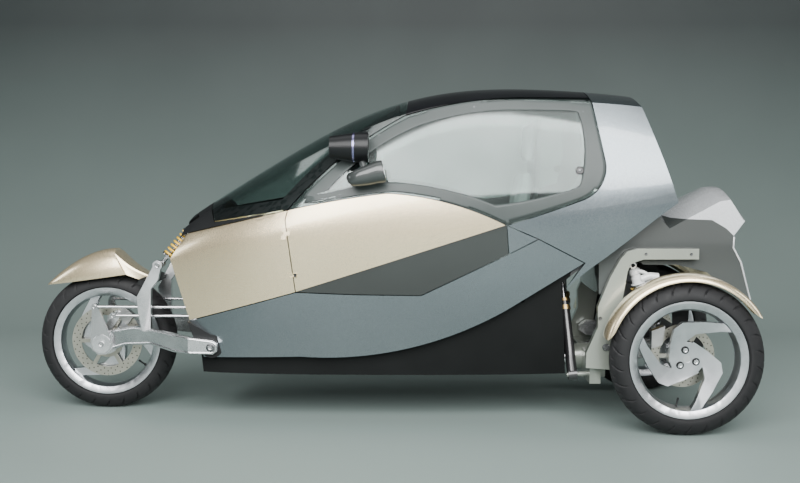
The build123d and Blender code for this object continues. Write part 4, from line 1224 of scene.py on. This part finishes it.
def makeLampTrim(side, sign, values):
    y, z = values["place"]
    steps, half = values["steps"], values["bandHalf"]
    bm = bmesh.new()
    rows = []
    for x, radius in values["band"]:
        row = []
        for step in range(steps + 1):
            angle = math.radians(-half + 2 * half * step / steps)
            row.append(bm.verts.new((x, sign * (y + radius * math.cos(angle)), z + radius * math.sin(angle))))
        rows.append(row)
    for near, far in zip(rows, rows[1:] + rows[:1]):
        for step in range(steps):
            bm.faces.new((near[step], near[step + 1], far[step + 1], far[step]))
    bm.faces.new([row[0] for row in rows])
    bm.faces.new([row[-1] for row in rows][::-1])
    closedPiece(f"lampBand_{side}", bm, f"door_{side}", "violetMetal")
    bm = bmesh.new()
    turnInto(bm, (values["reflectorX"], sign * y, z), (1, 0, 0), values["reflector"], 40)
    closedPiece(f"lampReflector_{side}", bm, f"door_{side}", "chrome")


for side, sign in sides.items():
    makePods(side, sign, mirrorShape)
    makeLampTrim(side, sign, lampTrim)
print("pods made")

# Door lock and the small screws of the door glass
lock = {
    "place": (-0.771, 1.029),
    "ring": [(0, -0.004), (0.0165, -0.004), (0.0165, 0.0014), (0.015, 0.0026), (0.0132, 0.0026), (0.0122, 0.0012),
             (0.008, 0.0012), (0.0072, 0.0024), (0.003, 0.0024), (0.0028, 0.0006), (0, 0.0006)],
    "barrelOut": 0.0024,
    "barrel": [(0, 0), (0.0068, 0), (0.0068, 0.001), (0.0056, 0.0018), (0.0026, 0.0018), (0.0022, 0.0006),
               (0, 0.0006)],
}
screws = {
    "places": [(-0.055, 1.222), (0.332, 0.893), (0.02, 1.168), (-0.432, 0.836), (-0.762, 0.967), (-0.36, 1.28),
               (-0.792, 1.262)],
    "profile": [(0, -0.003), (0.0034, -0.003), (0.0034, 0.0006), (0.00238, 0.0012), (0, 0.0012)],
}


def makeLock(side, sign, values):
    hit, normal = skinPoint(f"door_glass_{side}", *values["place"], sign)
    bm = bmesh.new()
    turnInto(bm, hit, normal, values["ring"], 36)
    closedPiece(f"doorLock_{side}", bm, f"door_{side}", "glossBlack")
    bm = bmesh.new()
    turnInto(bm, hit + normal * values["barrelOut"], normal, values["barrel"], 24)
    closedPiece(f"lockBarrel_{side}", bm, f"door_{side}", "darkSteel")


def makeScrews(side, sign, values):
    bm = bmesh.new()
    for place in values["places"]:
        hit, normal = skinPoint(f"door_glass_{side}", *place, sign)
        if hit is not None:
            turnInto(bm, hit, normal, values["profile"], 14)
    closedPiece(f"glassScrews_{side}", bm, f"door_{side}", "darkSteel")


# Printed border of the door glass, laid just over it between two outlines of joined arcs: corner, middle, corner
border = {
    "outer": [(0.38, 0.868), (0.189, 1.06), (-0.087, 1.246), (-0.33, 1.3), (-0.56, 1.318), (-0.69, 1.318),
              (-0.825, 1.318), (-0.85, 1.18), (-0.874, 1.054), (-0.852, 0.968), (-0.788, 0.915), (-0.64, 0.862),
              (-0.486, 0.813), (-0.245, 0.903), (-0.016, 0.937), (0.165, 0.911)],
    "inner": [(0.235, 0.93), (0.07, 1.085), (-0.137, 1.201), (-0.34, 1.252), (-0.56, 1.266), (-0.665, 1.265),
              (-0.77, 1.262), (-0.79, 1.08), (-0.768, 0.965), (-0.61, 0.92), (-0.438, 0.893), (-0.256, 0.95),
              (-0.03, 0.982), (0.11, 0.967)],
    "middle": (-0.33, 1.075),
    "around": 300,
    "lanes": 7,
    "edge": 0.0022,
    "proud": 0.0005,
    "thick": 0.0003,
}



def arcPoints(start, middle, end, count=14):  # the arc of a circle through three points, or a straight run
    (ax, ay), (bx, by), (cx, cy) = start, middle, end
    turn = 2 * (ax * (by - cy) + bx * (cy - ay) + cx * (ay - by))
    if abs(turn) < 0.00002:
        return [tuple(Vector(start).lerp(Vector(end), step / count)) for step in range(count)]
    a, b, c = ax * ax + ay * ay, bx * bx + by * by, cx * cx + cy * cy
    x = (a * (by - cy) + b * (cy - ay) + c * (ay - by)) / turn
    y = (a * (cx - bx) + b * (ax - cx) + c * (bx - ax)) / turn
    radius = math.hypot(ax - x, ay - y)
    first = math.atan2(ay - y, ax - x)
    sweep = (math.atan2(cy - y, cx - x) - first + math.pi) % (2 * math.pi) - math.pi
    angles = [first + sweep * step / count for step in range(count)]
    return [(x + radius * math.cos(angle), y + radius * math.sin(angle)) for angle in angles]


def outlineFrom(middle, corners, angles):  # how far the outline lies from the middle, along each angle
    points = []
    for index in range(0, len(corners), 2):
        points += arcPoints(corners[index], corners[index + 1], corners[(index + 2) % len(corners)])
    place = Vector(middle)
    found = []
    for angle in angles:
        way = Vector((math.cos(angle), math.sin(angle)))
        best = None
        for start, end in zip(points, points[1:] + points[:1]):
            a, b = Vector(start) - place, Vector(end) - place
            span = b - a
            cross = way.x * span.y - way.y * span.x
            if abs(cross) < 0.0000001:
                continue
            reach = (a.x * span.y - a.y * span.x) / cross
            share = (a.x * way.y - a.y * way.x) / cross
            if reach > 0 and -0.001 <= share <= 1.001:
                best = reach if best is None else max(best, reach)
        found.append(best)
    return found


def makeBorder(side, sign, values):
    count, lanes = values["around"], values["lanes"]
    middleX, middleZ = values["middle"]
    angles = [2 * math.pi * step / count for step in range(count)]
    outer = outlineFrom(values["middle"], values["outer"], angles)
    inner = outlineFrom(values["middle"], values["inner"], angles)
    bm = bmesh.new()
    rings = []
    for lane in range(lanes + 1):
        ring = []
        for angle, far, near in zip(angles, outer, inner):
            reach = near + (far - values["edge"] - near) * lane / lanes
            x, z = middleX + reach * math.cos(angle), middleZ + reach * math.sin(angle)
            hit, normal = skinPoint(f"door_glass_{side}", x, z, sign)
            ring.append(bm.verts.new(hit + normal * values["proud"]) if hit is not None else None)
        rings.append(ring)
    for near, far in zip(rings, rings[1:]):
        for step in range(count):
            after = (step + 1) % count
            corners = [near[step], near[after], far[after], far[step]]
            if None not in corners:
                bm.faces.new(corners)
    bmesh.ops.recalc_face_normals(bm, faces=bm.faces)
    if sum(face.normal.y for face in bm.faces) * sign < 0:
        bmesh.ops.reverse_faces(bm, faces=bm.faces)
    mesh = modified(bm, "glassBorder", "SOLIDIFY", {"thickness": values["thick"], "offset": -1}, 60)
    addPiece(f"glassBorder_{side}", mesh, f"door_{side}", "frit")


for side, sign in sides.items():
    makeBorder(side, sign, border)
print("glass borders made")
for side, sign in sides.items():
    makeLock(side, sign, lock)
    makeScrews(side, sign, screws)
print("locks and screws made")

# Rear dampers: white heads with a side reservoir
damperHead = {
    "foot": (-1.104, 0.226, 0.362),
    "head": (-1.007, 0.226, 0.645),
    "from": 0.735,
    "to": 0.955,
    "radius": 0.0235,
    "profile": [(0, 0), (1.3, 0), (1.3, 0.005), (1, 0.007)],
    "waist": [(1, 0.42), (0.86, 0.47), (0.86, 0.6), (1, 0.65), (1, 0.9), (0.7, 1), (0, 1)],
    "tank": [(-1.04, 0.24, 0.59), (-1.075, 0.243, 0.603), (-1.108, 0.243, 0.6)],
    "tankRadius": 0.0155,
    "neck": [(-1.022, 0.243, 0.625), (-1.046, 0.248, 0.62), (-1.072, 0.245, 0.606)],
    "neckRadius": 0.0075,
}


def makeDamperHeads(values):
    bm = bmesh.new()
    foot = Vector(values["foot"])
    line = Vector(values["head"]) - foot
    length = line.length * (values["to"] - values["from"])
    wide = values["radius"]
    profile = [(wide * share, up) for share, up in values["profile"]]
    profile += [(wide * share, length * up) for share, up in values["waist"]]
    turnInto(bm, foot + line * values["from"], line.normalized(), profile, 32)
    tubeInto(bm, values["tank"], values["tankRadius"], 20)
    tubeInto(bm, values["neck"], values["neckRadius"], 12)
    closedPiece("damperHeads", bm, "rear_module", "whiteEnamel", paired=True)


makeDamperHeads(damperHead)

# Lean cylinders: gold collars round each barrel, along the line from its pin to its eye
collars = {
    "reach": (-0.16, 0.4542),
    "up": (0.08716695, 0, 0.99619372),
    "rings": [(0.86, 1.0, 0.018), (0.975, 0.94, 0.012)],
    "barrel": 0.315,
    "radius": 0.0245,
    "bore": 0.0115,
}


def makeCollars(side, sign, values):
    joints = frame["record"]["behaviour"]["joints"]
    foot = Vector(next(joint["pos_m"] for joint in joints if joint["name"] == f"barrel_{side}_swing"))
    inward, rise = values["reach"]
    way = (Vector(values["up"]) * rise + Vector((0, sign * inward, 0))).normalized()
    bore = values["bore"]
    bm = bmesh.new()
    for share, wide, deep in values["rings"]:
        outer = values["radius"] * wide
        profile = [(bore, 0), (outer, 0), (outer, deep), (bore, deep)]
        turnInto(bm, foot + way * values["barrel"] * share, way, profile, 32)
        joinRings(bm, bm.verts[:][-32:], bm.verts[:][-128:-96])
    closedPiece(f"barrelCollars_{side}", bm, f"barrel_{side}", "goldAlloy")


for side, sign in sides.items():
    makeCollars(side, sign, collars)

# Upright frame: bolt heads on its outer faces, and a pale strip round the tail's rear edge, a painted highlight
module = {
    "bolts": [(-0.868, 0.438, 0.0075), (-0.893, 0.321, 0.015), (-1.045, 0.697, 0.0055), (-1.225, 0.697, 0.0055)],
    "boltHeight": 0.0055,
    "face": 0.2998,
    "edge": [(-1.402, 0.764), (-1.4005, 0.718), (-1.4315, 0.66), (-1.4735, 0.508)],
    "edgeThick": 0.007,
    "edgeHalf": 0.2565,
}


def makeModuleTrim(values):
    bm = bmesh.new()
    for x, z, radius in values["bolts"]:
        boltInto(bm, (x, values["face"], z), (0, 1, 0), radius, values["boltHeight"])
    closedPiece("frameBolts", bm, "rear_module", "darkSteel", paired=True)
    inner = [Vector((x, 0, z)) for x, z in values["edge"]]
    outer = []
    for index, point in enumerate(inner):
        way = (inner[min(index + 1, len(inner) - 1)] - inner[max(index - 1, 0)]).normalized()
        outer.append(point + Vector((way.z, 0, -way.x)) * values["edgeThick"])
    # the strip round the tail's rear edge is a painted highlight, in the lit silver-blue
    bm = bmesh.new()
    prismInto(bm, [(point.x, point.z) for point in inner + outer[::-1]], -values["edgeHalf"], values["edgeHalf"])
    outward(bm)
    mesh = modified(bm, "tailEdgeHighlight", "BEVEL", {"width": 0.002, "segments": 2, "limit_method": "ANGLE"}, 40)
    addPiece("tailEdgeHighlight", mesh, "rear_module", "litSilverBlue")


makeModuleTrim(module)
print("rear module trimmed")

# Seats: a hard shell under cushions that air pressure fills in a short cloth run
seats = {
    "pads": {
        "driverSeatPad": {
            "outline": [(-0.052, 0.318), (-0.056, 0.376), (-0.2, 0.366), (-0.43, 0.356), (-0.43, 0.318)],
            "half": 0.168, "cap": 0.014, "seams": [("x", -0.17), ("x", -0.29), ("y", 0.105), ("y", -0.105)]},
        "driverBackPad": {
            "outline": [(-0.458, 0.395), (-0.486, 0.56), (-0.518, 0.76), (-0.56, 0.96), (-0.572, 1.025),
                        (-0.603, 1.025), (-0.598, 0.96), (-0.57, 0.78), (-0.53, 0.58), (-0.496, 0.395)],
            "half": 0.146, "cap": 0.014,
            "seams": [("z", 0.56), ("z", 0.72), ("z", 0.88), ("y", 0.098), ("y", -0.098)]},
        "driverHeadPad": {
            "outline": [(-0.583, 1.06), (-0.592, 1.15), (-0.594, 1.222), (-0.618, 1.218), (-0.614, 1.06)],
            "half": 0.098, "cap": 0.01, "seams": [("z", 1.14)]},
        "passengerSeatPad": {
            "outline": [(-0.704, 0.776), (-0.704, 0.806), (-0.8, 0.838), (-0.905, 0.874), (-0.905, 0.836)],
            "half": 0.15, "cap": 0.01, "seams": [("x", -0.8), ("y", 0.09), ("y", -0.09)]},
        "passengerBackPad": {
            "outline": [(-0.902, 0.892), (-0.936, 1.0), (-0.983, 1.145), (-1.003, 1.14), (-0.962, 1.0),
                        (-0.928, 0.884)],
            "half": 0.145, "cap": 0.01, "seams": [("z", 0.98), ("z", 1.07), ("y", 0.09), ("y", -0.09)]},
    },
    "shells": {
        "driverShellBase": ([(-0.03, 0.3), (-0.036, 0.33), (-0.12, 0.316), (-0.47, 0.314), (-0.47, 0.209),
                             (-0.1, 0.209)], 0.188),
        "driverShellBack": ([(-0.47, 0.314), (-0.505, 0.4), (-0.545, 0.58), (-0.586, 0.78), (-0.614, 0.96),
                             (-0.622, 1.238), (-0.64, 1.232), (-0.632, 0.96), (-0.602, 0.78), (-0.56, 0.56),
                             (-0.52, 0.33), (-0.52, 0.314)], 0.168),
        "passengerShellBase": ([(-0.692, 0.748), (-0.692, 0.768), (-0.91, 0.83), (-0.91, 0.812)], 0.162),
        "passengerShellBack": ([(-0.934, 0.862), (-1.01, 1.15), (-1.02, 1.15), (-0.944, 0.862)], 0.16),
    },
    "cloth": "seatCloth",
    "fill": 0.6,
    "voxel": 0.0075,
    "round": 0.01,
    "shellRound": 0.0035,
    "seamWidth": 0.0055,
    "seamDepth": 0.005,
    "frames": 20,
    "pressure": 4,
}


def puff(pad, name, still, cap, values):  # the cloth run, with each point held within the cap
    cloth = pad.modifiers.new("air", "CLOTH")
    cloth.settings.use_pressure = True
    cloth.settings.uniform_pressure_force = values["pressure"]
    cloth.settings.effector_weights.gravity = 0
    cloth.point_cache.frame_start = 1
    cloth.point_cache.frame_end = values["frames"]
    for moment in range(1, values["frames"] + 1):
        bpy.context.scene.frame_set(moment)
    puffed = bakedCopy(pad, name)
    bpy.context.scene.frame_set(1)
    pad.modifiers.clear()
    for vertex, place in zip(puffed.vertices, still):
        move = vertex.co - place
        if move.length > cap:
            vertex.co = place + move.normalized() * cap
    pad.data = puffed


def padMesh(name, shape, values):
    bm = bmesh.new()
    prismInto(bm, shape["outline"], -shape["half"], shape["half"])
    outward(bm)
    mesh = modified(bm, name, "BEVEL", edgeBevel(values["round"], 3, 25))
    mesh = applied(mesh, name, "REMESH", {"mode": "VOXEL", "voxel_size": values["voxel"]})
    still = [vertex.co.copy() for vertex in mesh.vertices]
    pad = bpy.data.objects.new(name + "Soft", mesh)
    collection.objects.link(pad)
    puff(pad, name, still, shape["cap"], values)
    mesh = pad.data
    bpy.data.objects.remove(pad)
    normals = [normal.vector.copy() for normal in mesh.vertex_normals]
    for vertex, place, normal in zip(mesh.vertices, still, normals):
        for axis, at in shape["seams"]:
            away = (place["xyz".index(axis)] - at) / values["seamWidth"]
            if abs(away) < 3:
                vertex.co -= normal * values["seamDepth"] * math.exp(-away * away)
    mesh = applied(mesh, name, "SUBSURF", {"levels": 1, "render_levels": 1})
    for polygon in mesh.polygons:
        polygon.use_smooth = True
    return mesh


def seatOf(name):
    return "driver_seat" if name.startswith("driver") else "passenger_seat"


def makeSeats(values):
    for name, (outline, half) in values["shells"].items():
        bm = bmesh.new()
        prismInto(bm, outline, -half, half)
        outward(bm)
        mesh = modified(bm, name, "BEVEL", edgeBevel(values["shellRound"]), 40)
        addPiece(name, mesh, "cabin", "grainedBlack", [seatOf(name)])
    for name, pad in values["pads"].items():
        piece = addPiece(name, padMesh(name, pad, values), "cabin", values["cloth"], [seatOf(name)])
        print("pad", name, "faces", len(piece.data.polygons))


makeSeats(seats)
print("seats made")

# Dashboard: three dials, each a bright rim round a pale face
dash = {
    "dials": [(0.0, 0.04), (0.085, 0.028), (-0.085, 0.028)],
    "place": (0.366, 0.845),
    "tilt": 0.42,
    "rim": [(0, -0.02), (1, -0.02), (1, 0.004), (0.93, 0.006), (0.88, 0.004), (0.86, -0.002), (0, -0.002)],
    "face": [(0, -0.0018), (0.84, -0.0018), (0.84, -0.0008), (0, -0.0008)],
}


def makeDials(values):
    axis = Vector((-math.cos(values["tilt"]), 0, math.sin(values["tilt"])))
    for name, part, finish in (("dialRims", "rim", "satinAlloy"), ("dialFaces", "face", "whiteEnamel")):
        bm = bmesh.new()
        for y, radius in values["dials"]:
            profile = [(radius * share, up) for share, up in values[part]]
            turnInto(bm, Vector((values["place"][0], y, values["place"][1])), axis, profile, 36)
        closedPiece(name, bm, "cabin", finish)


makeDials(dash)
print("dashboard trimmed")
